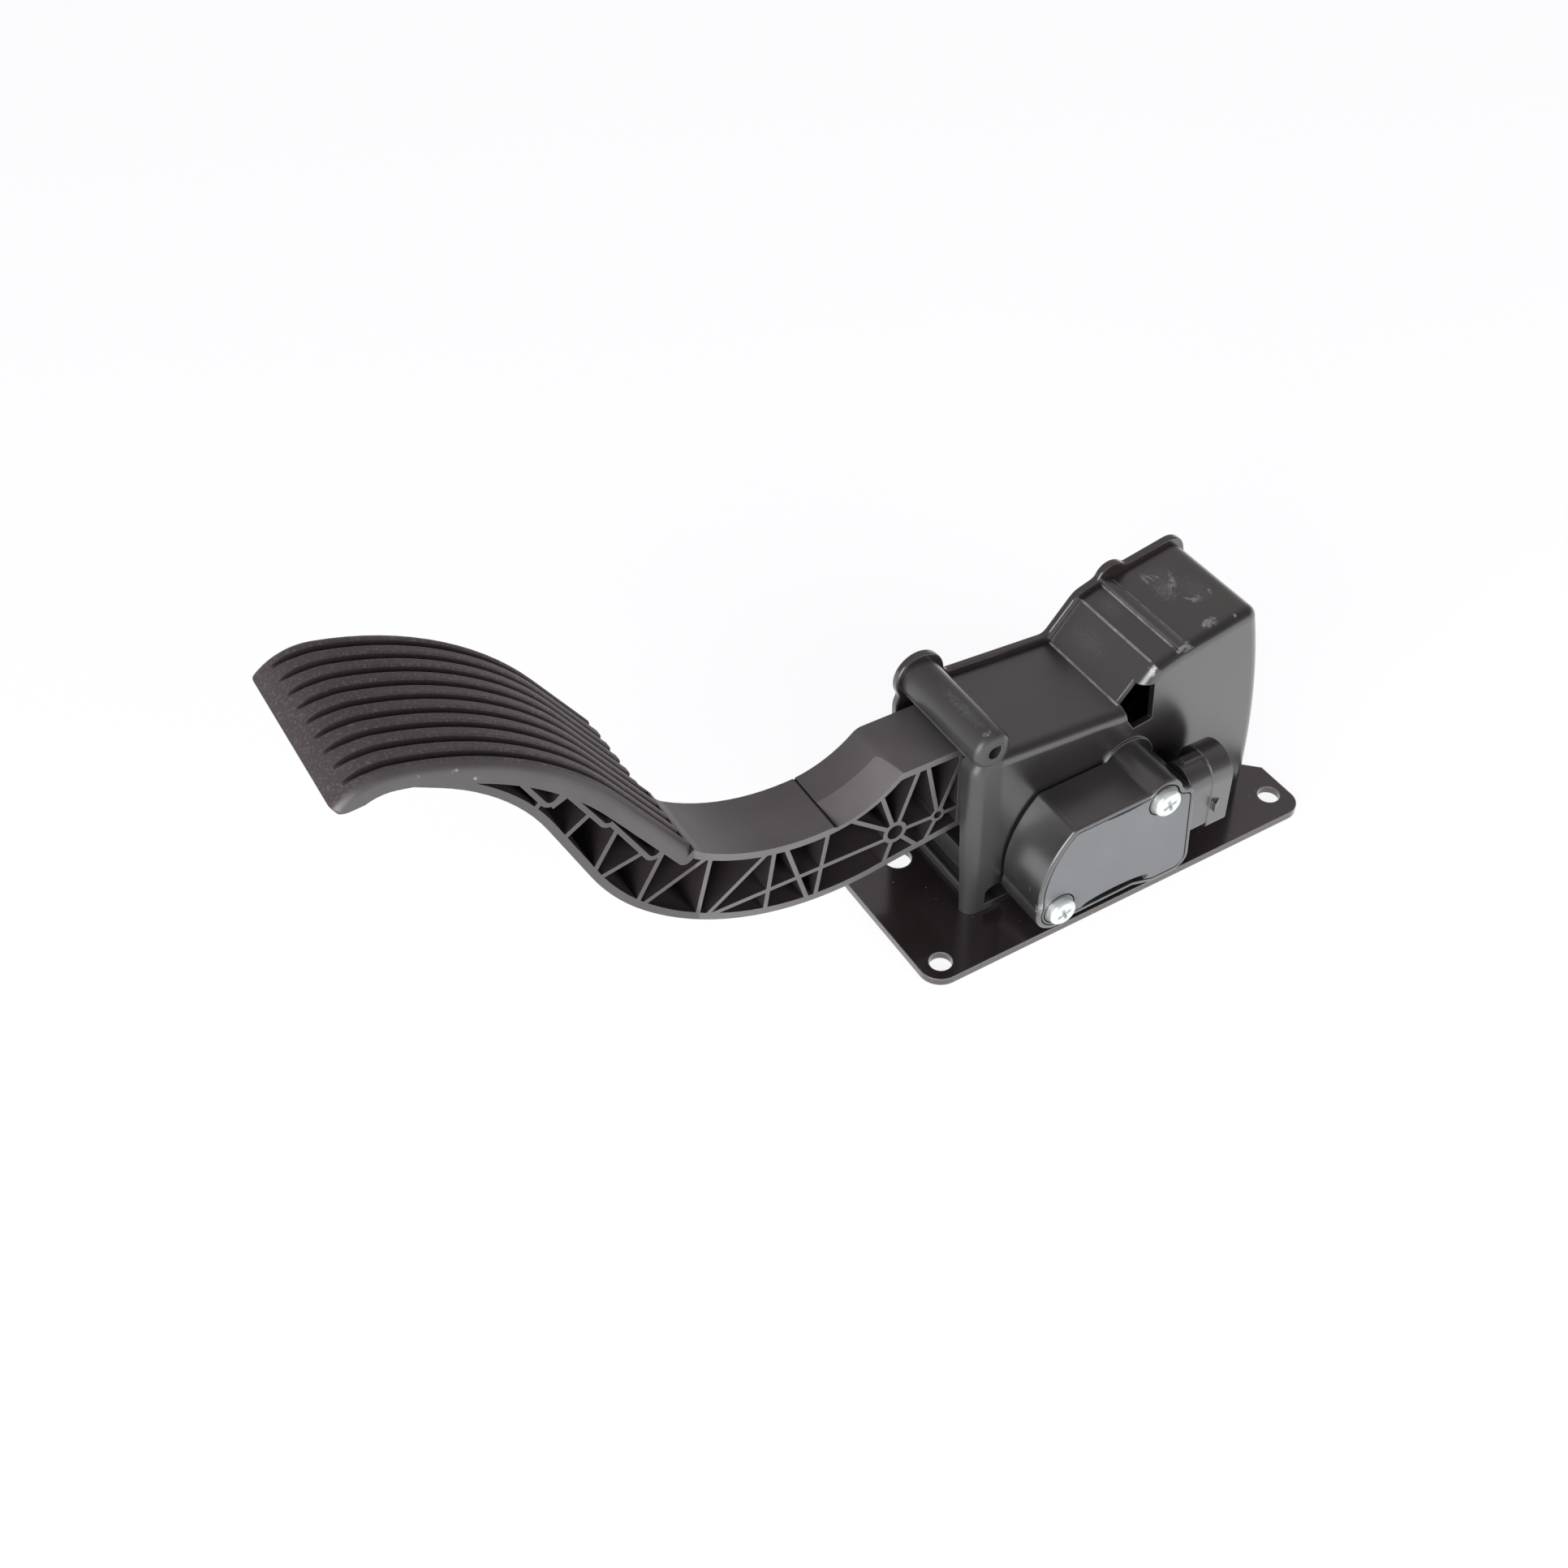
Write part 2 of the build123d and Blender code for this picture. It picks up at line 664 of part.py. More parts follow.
groove_path = Plane.XZ * Wire(groove_run())
crease_path = Plane.XZ * Wire(crease_run())
with BuildPart() as pedal_arm:
    # Tread: one section carried along nose, crown and shin
    with BuildSketch(Plane(tread_path @ 0, x_dir=(0, 1, 0), z_dir=tread_path % 0)) as tread_section:
        with Locations(((arm_near + tread_far) / 2, -tread_t / 2)):
            Rectangle(tread_far - arm_near, tread_t)
        fillet(tread_section.vertices().group_by(Axis.Y)[-1], tread_round)
    sweep(path=tread_path)
    shin_face = Plane(tread_path @ 1, x_dir=(0, 1, 0), z_dir=(tread_path % 1).rotate(Axis.Y, -90))
    with BuildSketch(shin_face) as overhang_end:
        with Locations(((arm_far + tread_far) / 2 + 3, 0)):
            Rectangle(tread_far - arm_far, 2 * tread_short)
        with Locations((tread_far - tread_corner, tread_short + tread_corner)):
            Rectangle(2 * tread_corner, tread_corner, align=(Align.MIN, Align.MAX))
            Circle(tread_corner, mode=Mode.SUBTRACT)
    extrude(amount=tread_t * 2, both=True, mode=Mode.SUBTRACT)
    with BuildSketch(Plane.XY) as tread_plan:
        with Locations((tread_start[0], (arm_near + tread_far) / 2)):
            Rectangle(150, tread_far - arm_near, align=(Align.MIN, Align.CENTER))
        fillet(tread_plan.vertices().group_by(Axis.X)[0], nose_corner)
    extrude(amount=200, mode=Mode.INTERSECT)
    with BuildSketch(side(tread_far)) as nose_under:
        with BuildLine():
            Polyline((-192.0, 154.6), (-179.0, 155.4), (-179.0, 140.0), (-192.0, 140.0), close=True)
        make_face()
    extrude(amount=tread_far - arm_near, mode=Mode.SUBTRACT)
    with BuildSketch(side(arm_far)) as body:
        add(arm_face())
    extrude(amount=arm_far - arm_near)
    # Pockets between the flanges, leaving the ribs
    with BuildSketch(side(arm_far - web_t)) as pockets:
        add(arm_face())
        offset(amount=-flange_t, mode=Mode.REPLACE)
        for start, end in ribs:
            add(strip(start, end, rib_t), mode=Mode.SUBTRACT)
        with Locations(boss_ring_at):
            Circle(boss_ring_r, mode=Mode.SUBTRACT)
        with Locations(pin_ring_at):
            Circle(pin_ring_r, mode=Mode.SUBTRACT)
        with Locations(pivot):
            Circle(hub_r, mode=Mode.SUBTRACT)
        with Locations((spring_x, tail_top)):
            Rectangle(8, 30, mode=Mode.SUBTRACT)
        for cup in scallops:
            add(offset(scallop_face(*cup), rib_t, mode=Mode.PRIVATE), mode=Mode.SUBTRACT)
    extrude(amount=arm_far - web_t - arm_near, mode=Mode.SUBTRACT)
    with BuildSketch(side(arm_near + scallop_depth)) as shallow:
        for cup in scallops:
            add(scallop_face(*cup))
        add(offset(arm_face(), -flange_t, mode=Mode.PRIVATE), mode=Mode.INTERSECT)
        with Locations(boss_ring_at):
            Circle(boss_ring_r - rib_t)
        with Locations(pin_ring_at):
            Circle(pin_ring_r - 1.3)
    extrude(amount=scallop_depth, mode=Mode.SUBTRACT)
    # Hub
    with BuildSketch(side(wall_y - bush_flange_t - hub_play)) as hub:
        with Locations(pivot):
            Circle(hub_r)
    extrude(amount=wall_y - 2 * bush_flange_t - 2 * hub_play - bearing_end)
    with BuildSketch(side(wall_y)) as hub_bore:
        with Locations(pivot):
            Circle(shaft_r + push_gap)
    extrude(amount=wall_y - bearing_end, mode=Mode.SUBTRACT)
    with Locations((spring_x, spring_y, tail_top)):
        Cylinder(spigot_r, seat_peg + 2, align=(Align.CENTER, Align.CENTER, Align.MAX), mode=Mode.SUBTRACT)
    # Step across the arm's top and the crease behind it
    with Locations((step_x, spring_y, step_z)):
        Box(0.9, arm_far - arm_near, 1.4, mode=Mode.SUBTRACT)
    with BuildSketch(Plane(crease_path @ 0, x_dir=(0, 1, 0), z_dir=crease_path % 0)) as crease:
        Polygon((crease_y, 0), (arm_near - 0.5, 0.5), (arm_near - 0.5, -crease_drop), align=None)
    sweep(path=crease_path, mode=Mode.SUBTRACT)
    # Tread grooves, running out at the nose
    with BuildSketch(Plane(groove_path @ 0, x_dir=(0, 1, 0), z_dir=groove_path % 0)) as grooves:
        with Locations(((arm_near + tread_far) / 2, 0)):
            with GridLocations(groove_pitch, 1, groove_count, 1):
                Polygon(
                    (-groove_w / 2, 0.6), (-groove_w / 2, 0), (-groove_neck_w / 2, -groove_ease),
                    (-groove_floor_w / 2, -groove_depth), (groove_floor_w / 2, -groove_depth),
                    (groove_neck_w / 2, -groove_ease), (groove_w / 2, 0), (groove_w / 2, 0.6), align=None,
                )
    sweep(path=groove_path, mode=Mode.SUBTRACT)
pedal_arm.part.label = "pedal_arm"
export_step(pedal_arm.part, "parts/pedal_arm.step")

# Pivot shaft: turns with the arm and reaches into the sensor
with BuildPart() as pivot_shaft:
    with BuildSketch(side(shaft_far)) as shaft_round:
        with Locations(pivot):
            Circle(shaft_r)
    extrude(amount=shaft_far - shaft_near)
    chamfer(pivot_shaft.edges().filter_by(GeomType.CIRCLE), 0.6)
    with BuildSketch(side(clip_y + clip_t + push_gap)) as clip_groove:
        with Locations(pivot):
            Circle(shaft_r + 1)
            Circle(clip_groove_r, mode=Mode.SUBTRACT)
    extrude(amount=clip_t + 2 * push_gap, mode=Mode.SUBTRACT)
pivot_shaft.part.label = "pivot_shaft"
export_step(pivot_shaft.part, "parts/pivot_shaft.step")

# Near bush: flanged bearing in the housing
with BuildPart() as near_bush:
    with BuildSketch(side(bearing_end)) as near_sleeve:
        with Locations(pivot):
            Circle(bush_r)
    extrude(amount=bearing_end - sensor_back - 0.5)
    with BuildSketch(side(bearing_end + bush_flange_t)) as near_flange:
        with Locations(pivot):
            Circle(bush_flange_r)
    extrude(amount=bush_flange_t)
    with BuildSketch(side(bearing_end + bush_flange_t)) as near_bore:
        with Locations(pivot):
            Circle(shaft_r + run_gap)
    extrude(amount=bearing_end, mode=Mode.SUBTRACT)
near_bush.part.label = "near_bush"
export_step(near_bush.part, "parts/near_bush.step")

# Far bush: flanged bearing in the steel wall
with BuildPart() as far_bush:
    with BuildSketch(side(bush_far)) as far_sleeve:
        with Locations(pivot):
            Circle(bush_r)
    extrude(amount=bush_far - wall_y)
    with BuildSketch(side(wall_y)) as far_flange:
        with Locations(pivot):
            Circle(bush_flange_r)
    extrude(amount=bush_flange_t)
    with BuildSketch(side(bush_far)) as far_bore:
        with Locations(pivot):
            Circle(shaft_r + run_gap)
    extrude(amount=2 * bush_far, both=True, mode=Mode.SUBTRACT)
far_bush.part.label = "far_bush"
export_step(far_bush.part, "parts/far_bush.step")

# Shaft clip: open ring in the shaft's groove behind the wall
with BuildPart() as shaft_clip:
    with BuildSketch(side(clip_y + clip_t)) as clip_ring:
        with Locations(pivot):
            Circle(clip_r)
            Circle(clip_groove_r + push_gap, mode=Mode.SUBTRACT)
        with Locations((pivot[0], pivot[1] - clip_r)):
            Rectangle(1.5 * clip_groove_r, 2 * clip_r, mode=Mode.SUBTRACT)
    extrude(amount=clip_t)
shaft_clip.part.label = "shaft_clip"
export_step(shaft_clip.part, "parts/shaft_clip.step")

# Return springs: two nested coils between the arm's tail and the housing roof
with BuildPart() as outer_return_spring:
    with BuildLine() as outer_path:
        Helix(
            (spring_len - outer_wire) / outer_turns, spring_len - outer_wire, outer_coil_r,
            center=(spring_x, spring_y, spring_low + outer_wire / 2),
        )
    with BuildSketch(Plane(outer_path.line @ 0, z_dir=outer_path.line % 0)) as outer_round:
        Circle(outer_wire / 2)
    sweep()
outer_return_spring.part.label = "outer_return_spring"
export_step(outer_return_spring.part, "parts/outer_return_spring.step")

with BuildPart() as inner_return_spring:
    with BuildLine() as inner_path:
        Helix(
            (spring_len - inner_wire) / inner_turns, spring_len - inner_wire, inner_coil_r,
            center=(spring_x, spring_y, spring_low + inner_wire / 2),
        )
    with BuildSketch(Plane(inner_path.line @ 0, z_dir=inner_path.line % 0)) as inner_round:
        Circle(inner_wire / 2)
    sweep()
inner_return_spring.part.label = "inner_return_spring"
export_step(inner_return_spring.part, "parts/inner_return_spring.step")

# Spring seat: cup on the tail with a spigot for the inner coil and a peg below
with BuildPart() as spring_seat:
    with Locations((spring_x, spring_y, tail_top)):
        Cylinder(seat_r, seat_floor + seat_rim, align=(Align.CENTER, Align.CENTER, Align.MIN))
    with Locations((spring_x, spring_y, tail_top + seat_floor)):
        Cylinder(seat_r - 1.9, seat_rim, align=(Align.CENTER, Align.CENTER, Align.MIN), mode=Mode.SUBTRACT)
        Cylinder(spigot_r, seat_rim + 4, align=(Align.CENTER, Align.CENTER, Align.MIN))
    with Locations((spring_x, spring_y, tail_top)):
        Cylinder(spigot_r - push_gap, seat_peg, align=(Align.CENTER, Align.CENTER, Align.MAX))
spring_seat.part.label = "spring_seat"
export_step(spring_seat.part, "parts/spring_seat.step")

# Rubber stops at both ends of travel
roof_drop = house_wall / Vector(roof_foot[0] - house_front, roof_foot[1] - roof_front_z).normalized().X
roof_line = ((house_front, roof_front_z - roof_drop), (roof_foot[0], roof_foot[1] - roof_drop))
with BuildPart() as idle_stop:
    with BuildSketch(side(spring_y + stop_w / 2)) as idle_face:
        with BuildLine():
            Polyline(
                (stop_front, level_at(*roof_line, stop_front)),
                (stop_rear, level_at(*roof_line, stop_rear)),
                (stop_rear, level_at(lever_top_front, lever_top_rear, stop_rear) + stop_gap),
                (stop_front, level_at(lever_top_front, lever_top_rear, stop_front) + stop_gap), close=True,
            )
        make_face()
    extrude(amount=stop_w)
idle_stop.part.label = "idle_stop"
export_step(idle_stop.part, "parts/idle_stop.step")

press_line = (pressed(lever_low_front), pressed(lever_low_rear))
with BuildPart() as full_stop:
    with BuildSketch(side(spring_y + stop_w / 2)) as full_face:
        with BuildLine():
            Polyline(
                (stop_front, ledge_top), (stop_rear, ledge_top),
                (stop_rear, level_at(*press_line, stop_rear) - stop_gap),
                (stop_front, level_at(*press_line, stop_front) - stop_gap), close=True,
            )
        make_face()
    extrude(amount=stop_w)
full_stop.part.label = "full_stop"
export_step(full_stop.part, "parts/full_stop.step")

# Sensor body: case with a chamber each side of a thin floor, and the connector shroud
pin_levels = [plug_mid + (i - (pin_count - 1) / 2) * pin_pitch for i in range(pin_count)]
with BuildPart() as sensor_body:
    with BuildSketch(side(sensor_back)) as case:
        add(sensor_face(0))
    extrude(amount=sensor_back - sensor_near)
    near_edges = sensor_body.faces().sort_by(Axis.Y)[0].edges()
    fillet(near_edges, case_edge_r)
    with BuildSketch(Plane.YZ.offset(neck_start)) as plug_neck:
        add(plug_face(neck_trim, neck_trim - neck_step))
    extrude(amount=mouth_start - neck_start)
    with BuildSketch(Plane.YZ.offset(mouth_start)) as plug_mouth:
        add(plug_face(0, 0))
    extrude(amount=mouth_end - mouth_start)
    with BuildSketch(Plane.XY.offset(plug_high - neck_trim - 2)) as key_rib:
        with Locations(((neck_start + mouth_start) / 2 + 1, plug_y)):
            Rectangle(mouth_start - neck_start - 2, 3)
    extrude(amount=3)
    with BuildSketch(Plane.XY.offset(latch_z)) as latch:
        with BuildLine():
            Polyline(
                (latch_x, plug_y - plug_half), (latch_x + latch_len, plug_y - plug_half),
                (latch_x, plug_y - plug_half - latch_h), close=True,
            )
        make_face()
    extrude(amount=latch_w / 2, both=True)
    with BuildSketch(side(sensor_near + cover_t)) as cover_seat:
        add(sensor_face(rim_t))
        with Locations(upper_screw_at, lower_screw_at):
            Circle(ear_core_r, mode=Mode.SUBTRACT)
    extrude(amount=cover_t, mode=Mode.SUBTRACT)
    with BuildSketch(side(sensor_near + well_depth)) as seam_hollows:
        add(wells())
    extrude(amount=well_depth, mode=Mode.SUBTRACT)
    with BuildSketch(side(chamber_floor)) as chamber:
        add(sensor_face(rim_t + ledge_w))
        with Locations(upper_screw_at, lower_screw_at):
            Circle(ear_core_r + ledge_w, mode=Mode.SUBTRACT)
    extrude(amount=chamber_floor - sensor_near, mode=Mode.SUBTRACT)
    with BuildSketch(side(sensor_back)) as rotor_bay:
        with Locations(pivot):
            Circle(rotor_bay_r)
    extrude(amount=sensor_back - rotor_bay_floor, mode=Mode.SUBTRACT)
    with BuildSketch(side(sensor_back)) as seal_groove:
        with Locations(pivot):
            Circle(seal_r + seal_w / 2)
            Circle(seal_r - seal_w / 2, mode=Mode.SUBTRACT)
    extrude(amount=seal_t, mode=Mode.SUBTRACT)
    with BuildSketch(side(sensor_back)) as ear_holes:
        with Locations(upper_screw_at, lower_screw_at):
            Circle(shank_r + slip_gap)
    extrude(amount=sensor_back - sensor_near, mode=Mode.SUBTRACT)
    with BuildSketch(Plane.YZ.offset(plug_floor)) as plug_bay:
        add(plug_face(neck_trim + plug_wall, neck_trim - neck_step))
    extrude(amount=mouth_end - plug_floor, mode=Mode.SUBTRACT)
    with BuildSketch(Plane.YZ.offset(mouth_start + 2)) as mouth_bay:
        add(plug_face(plug_wall, 0))
    extrude(amount=mouth_end - mouth_start, mode=Mode.SUBTRACT)
    for level in pin_levels:
        with BuildSketch(Plane.XY.offset(level)) as pin_way:
            add(blade(run_gap))
        extrude(amount=pin_w / 2 + run_gap, both=True, mode=Mode.SUBTRACT)
sensor_body.part.label = "sensor_body"
export_step(sensor_body.part, "parts/sensor_body.step")

# Sensor cover: flat lid let into the case, round the screw ears
with BuildPart() as sensor_cover:
    with BuildSketch(side(sensor_near + cover_t)) as lid:
        add(sensor_face(rim_t + seam_gap))
        with Locations(upper_screw_at, lower_screw_at):
            Circle(ear_core_r + seam_gap, mode=Mode.SUBTRACT)
        add(wells(), mode=Mode.SUBTRACT)
    extrude(amount=cover_t)
sensor_cover.part.label = "sensor_cover"
export_step(sensor_cover.part, "parts/sensor_cover.step")

# Sensor seal: flat ring between case and housing
with BuildPart() as sensor_seal:
    with BuildSketch(side(sensor_back)) as seal_ring:
        with Locations(pivot):
            Circle(seal_r + seal_w / 2 - push_gap)
            Circle(seal_r - seal_w / 2 + push_gap, mode=Mode.SUBTRACT)
    extrude(amount=seal_t)
sensor_seal.part.label = "sensor_seal"
export_step(sensor_seal.part, "parts/sensor_seal.step")

# Sensor rotor on the end of the shaft, with a ring magnet let into its face
with BuildPart() as sensor_rotor:
    with BuildSketch(side(rotor_back)) as rotor_round:
        with Locations(pivot):
            Circle(rotor_r)
    extrude(amount=rotor_back - rotor_front)
    with BuildSketch(side(rotor_back)) as rotor_bore:
        with Locations(pivot):
            Circle(shaft_r + push_gap)
    extrude(amount=rotor_back - shaft_near, mode=Mode.SUBTRACT)
    with BuildSketch(side(rotor_front + magnet_t)) as magnet_seat:
        with Locations(pivot):
            Circle(magnet_r)
            Circle(magnet_r - magnet_w, mode=Mode.SUBTRACT)
    extrude(amount=magnet_t, mode=Mode.SUBTRACT)
sensor_rotor.part.label = "sensor_rotor"
export_step(sensor_rotor.part, "parts/sensor_rotor.step")

with BuildPart() as rotor_magnet:
    with BuildSketch(side(rotor_front + magnet_t)) as magnet_ring:
        with Locations(pivot):
            Circle(magnet_r - push_gap)
            Circle(magnet_r - magnet_w + push_gap, mode=Mode.SUBTRACT)
    extrude(amount=magnet_t)
rotor_magnet.part.label = "rotor_magnet"
export_step(rotor_magnet.part, "parts/rotor_magnet.step")

# Circuit board on the chamber floor, drilled for the terminals
with BuildPart() as circuit_board:
    with BuildSketch(side(chamber_floor)) as board:
        with Locations(((board_front + board_rear) / 2, (board_low + board_high) / 2)):
            Rectangle(board_rear - board_front, board_high - board_low)
        with Locations(upper_screw_at, lower_screw_at):
            Circle(ear_core_r + ledge_w + 0.5, mode=Mode.SUBTRACT)
        with Locations(*[(pin_root + pin_w / 2, level) for level in pin_levels]):
            Rectangle(pin_w + 2 * slip_gap, pin_w + 2 * slip_gap, mode=Mode.SUBTRACT)
    extrude(amount=board_t)
circuit_board.part.label = "circuit_board"
export_step(circuit_board.part, "parts/circuit_board.step")

# Connector terminals: bent blades from the board into the shroud
with BuildPart() as connector_terminals:
    for level in pin_levels:
        with BuildSketch(Plane.XY.offset(level)) as pin:
            add(blade(0))
        extrude(amount=pin_w / 2, both=True)
connector_terminals.part.label = "connector_terminals"
export_step(connector_terminals.part, "parts/connector_terminals.step")

# Sensor screws: pan heads with a cross recess
with BuildPart() as sensor_screws:
    with BuildSketch(side(sensor_near)) as heads:
        with Locations(upper_screw_at, lower_screw_at):
            Circle(head_r)
    extrude(amount=head_h)
    fillet(sensor_screws.faces().group_by(Axis.Y)[0].edges(), 1.6)
    with BuildSketch(side(pilot_end - 2)) as shanks:
        with Locations(upper_screw_at, lower_screw_at):
            Circle(shank_r)
    extrude(amount=pilot_end - 2 - sensor_near)
    with BuildSketch(side(sensor_near - head_h + 1.7)) as crosses:
        with Locations(upper_screw_at, lower_screw_at):
            Rectangle(cross_len, cross_w, rotation=20)
            Rectangle(cross_w, cross_len, rotation=20)
    extrude(amount=3, mode=Mode.SUBTRACT)
sensor_screws.part.label = "sensor_screws"
export_step(sensor_screws.part, "parts/sensor_screws.step")

# Housing screws: through the wall into the housing columns
with BuildPart() as housing_screws:
    with BuildSketch(side(wall_y + sheet + wall_head_h)) as wall_heads:
        with Locations(front_boss_at, roof_screw_at, rear_screw_at, front_screw_at):
            Circle(wall_head_r)
    extrude(amount=wall_head_h)
    fillet(housing_screws.faces().group_by(Axis.Y)[-1].edges(), 1.4)
    with BuildSketch(side(wall_y + sheet)) as wall_shanks:
        with Locations(front_boss_at, roof_screw_at, rear_screw_at, front_screw_at):
            Circle(wall_shank_r)
    extrude(amount=wall_y + sheet - wall_shank_end)
    with BuildSketch(side(wall_y + sheet + wall_head_h + 1)) as wall_crosses:
        with Locations(front_boss_at, roof_screw_at, rear_screw_at, front_screw_at):
            Rectangle(wall_cross_len, wall_cross_w, rotation=35)
            Rectangle(wall_cross_w, wall_cross_len, rotation=35)
    extrude(amount=2.6, mode=Mode.SUBTRACT)
housing_screws.part.label = "housing_screws"
export_step(housing_screws.part, "parts/housing_screws.step")
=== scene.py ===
"""Looks of the accelerator pedal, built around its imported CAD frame. Metres, in the frame's own axes."""

import logging
from dataclasses import dataclass, field
from enum import Enum
from typing import Any, Iterable

import bpy
import numpy as np
from mathutils import Matrix, Vector


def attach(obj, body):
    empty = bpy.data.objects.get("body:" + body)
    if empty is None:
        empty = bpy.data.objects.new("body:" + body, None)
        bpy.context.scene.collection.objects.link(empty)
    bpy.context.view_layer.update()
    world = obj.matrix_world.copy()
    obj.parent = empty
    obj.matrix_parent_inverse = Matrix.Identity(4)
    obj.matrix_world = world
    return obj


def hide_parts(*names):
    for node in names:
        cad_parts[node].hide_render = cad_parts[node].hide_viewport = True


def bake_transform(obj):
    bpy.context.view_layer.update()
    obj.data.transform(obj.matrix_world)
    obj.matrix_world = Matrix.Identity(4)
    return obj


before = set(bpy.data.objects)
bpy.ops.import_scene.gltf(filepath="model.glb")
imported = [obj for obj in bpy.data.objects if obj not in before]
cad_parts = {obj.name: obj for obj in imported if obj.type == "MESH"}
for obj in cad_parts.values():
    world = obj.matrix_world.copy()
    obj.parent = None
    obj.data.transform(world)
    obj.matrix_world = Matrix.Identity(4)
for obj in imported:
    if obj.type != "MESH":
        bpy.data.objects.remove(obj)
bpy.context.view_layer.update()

log = logging.getLogger("accelerator_pedal")
MM = 0.001
# Samples of the rounded normal and of the hollows, gain of the edge mask, and the index of common plastics.
SOFT_SAMPLES = 6
EDGE_GAIN = 6.0
PLASTIC_IOR = 1.5
# Noise levels that most of a flow cloud lies between.
CLOUD_RANGE = (0.3, 0.7)
# Share of open room at which a hollow begins to count and at which it counts in full.
GROOVE_ROOM = (0.94, 0.55)
POCKET_ROOM = (0.5, 0.3)
# How much noise is added to the distance from a scuff's middle, and the sums at which it ends and is whole.
SCUFF_SHAKE = 1.6
SCUFF_RIM = (1.7, 1.1)
# Noise levels between which the bare gaps of a scuff close.
SCUFF_GAPS = (0.36, 0.54)


class Body(Enum):
    """The two moving halves of the assembly."""

    BASE = "base"
    PEDAL = "pedal"


class Slot(Enum):
    """Material slots of the record; nothing in this script uses them."""

    HOUSING = "black_moulding"
    SPRING = "spring_steel"


def linear(code: str) -> tuple[float, float, float, float]:
    """Turns an sRGB hex colour to linear light.

    Args:
        code: Colour such as "#3a3536".

    Returns:
        Red, green, blue and alpha for a colour socket.
    """
    srgb = np.array([int(code[i:i + 2], 16) for i in (1, 3, 5)]) / 255
    light = np.where(srgb <= 0.04045, srgb / 12.92, ((srgb + 0.055) / 1.055) ** 2.4)
    return (*[float(v) for v in light], 1.0)


def per_mm(size: float) -> float:
    """Texture scale at which one feature is size millimetres wide."""
    return 1 / (size * MM)


def add_node(tree: bpy.types.NodeTree, kind: str, feeds: dict | None = None, **settings: Any) -> bpy.types.Node:
    """Adds one node with its settings, values and links.

    Args:
        tree: Node tree that gets the node.
        kind: Blender's name of the node type.
        feeds: Input name or index to a constant, or to the output socket that drives it.
        settings: Attributes of the node itself.

    Returns:
        The new node.
    """
    node = tree.nodes.new(kind)
    for key, value in settings.items():
        setattr(node, key, value)
    for key, value in (feeds or {}).items():
        if isinstance(value, bpy.types.NodeSocket):
            tree.links.new(value, node.inputs[key])
        else:
            node.inputs[key].default_value = value
    return node


@dataclass(frozen=True)
class Mark:
    """One scuff, nick or painted highlight: a soft-edged patch at a place on the part.

    at is its middle and size its half-widths along X, Y and Z, all in millimetres, and turn swings it about Z in
    degrees.
    """

    at: tuple[float, float, float]
    size: tuple[float, float, float]
    strength: float = 1.0
    turn: float = 0.0


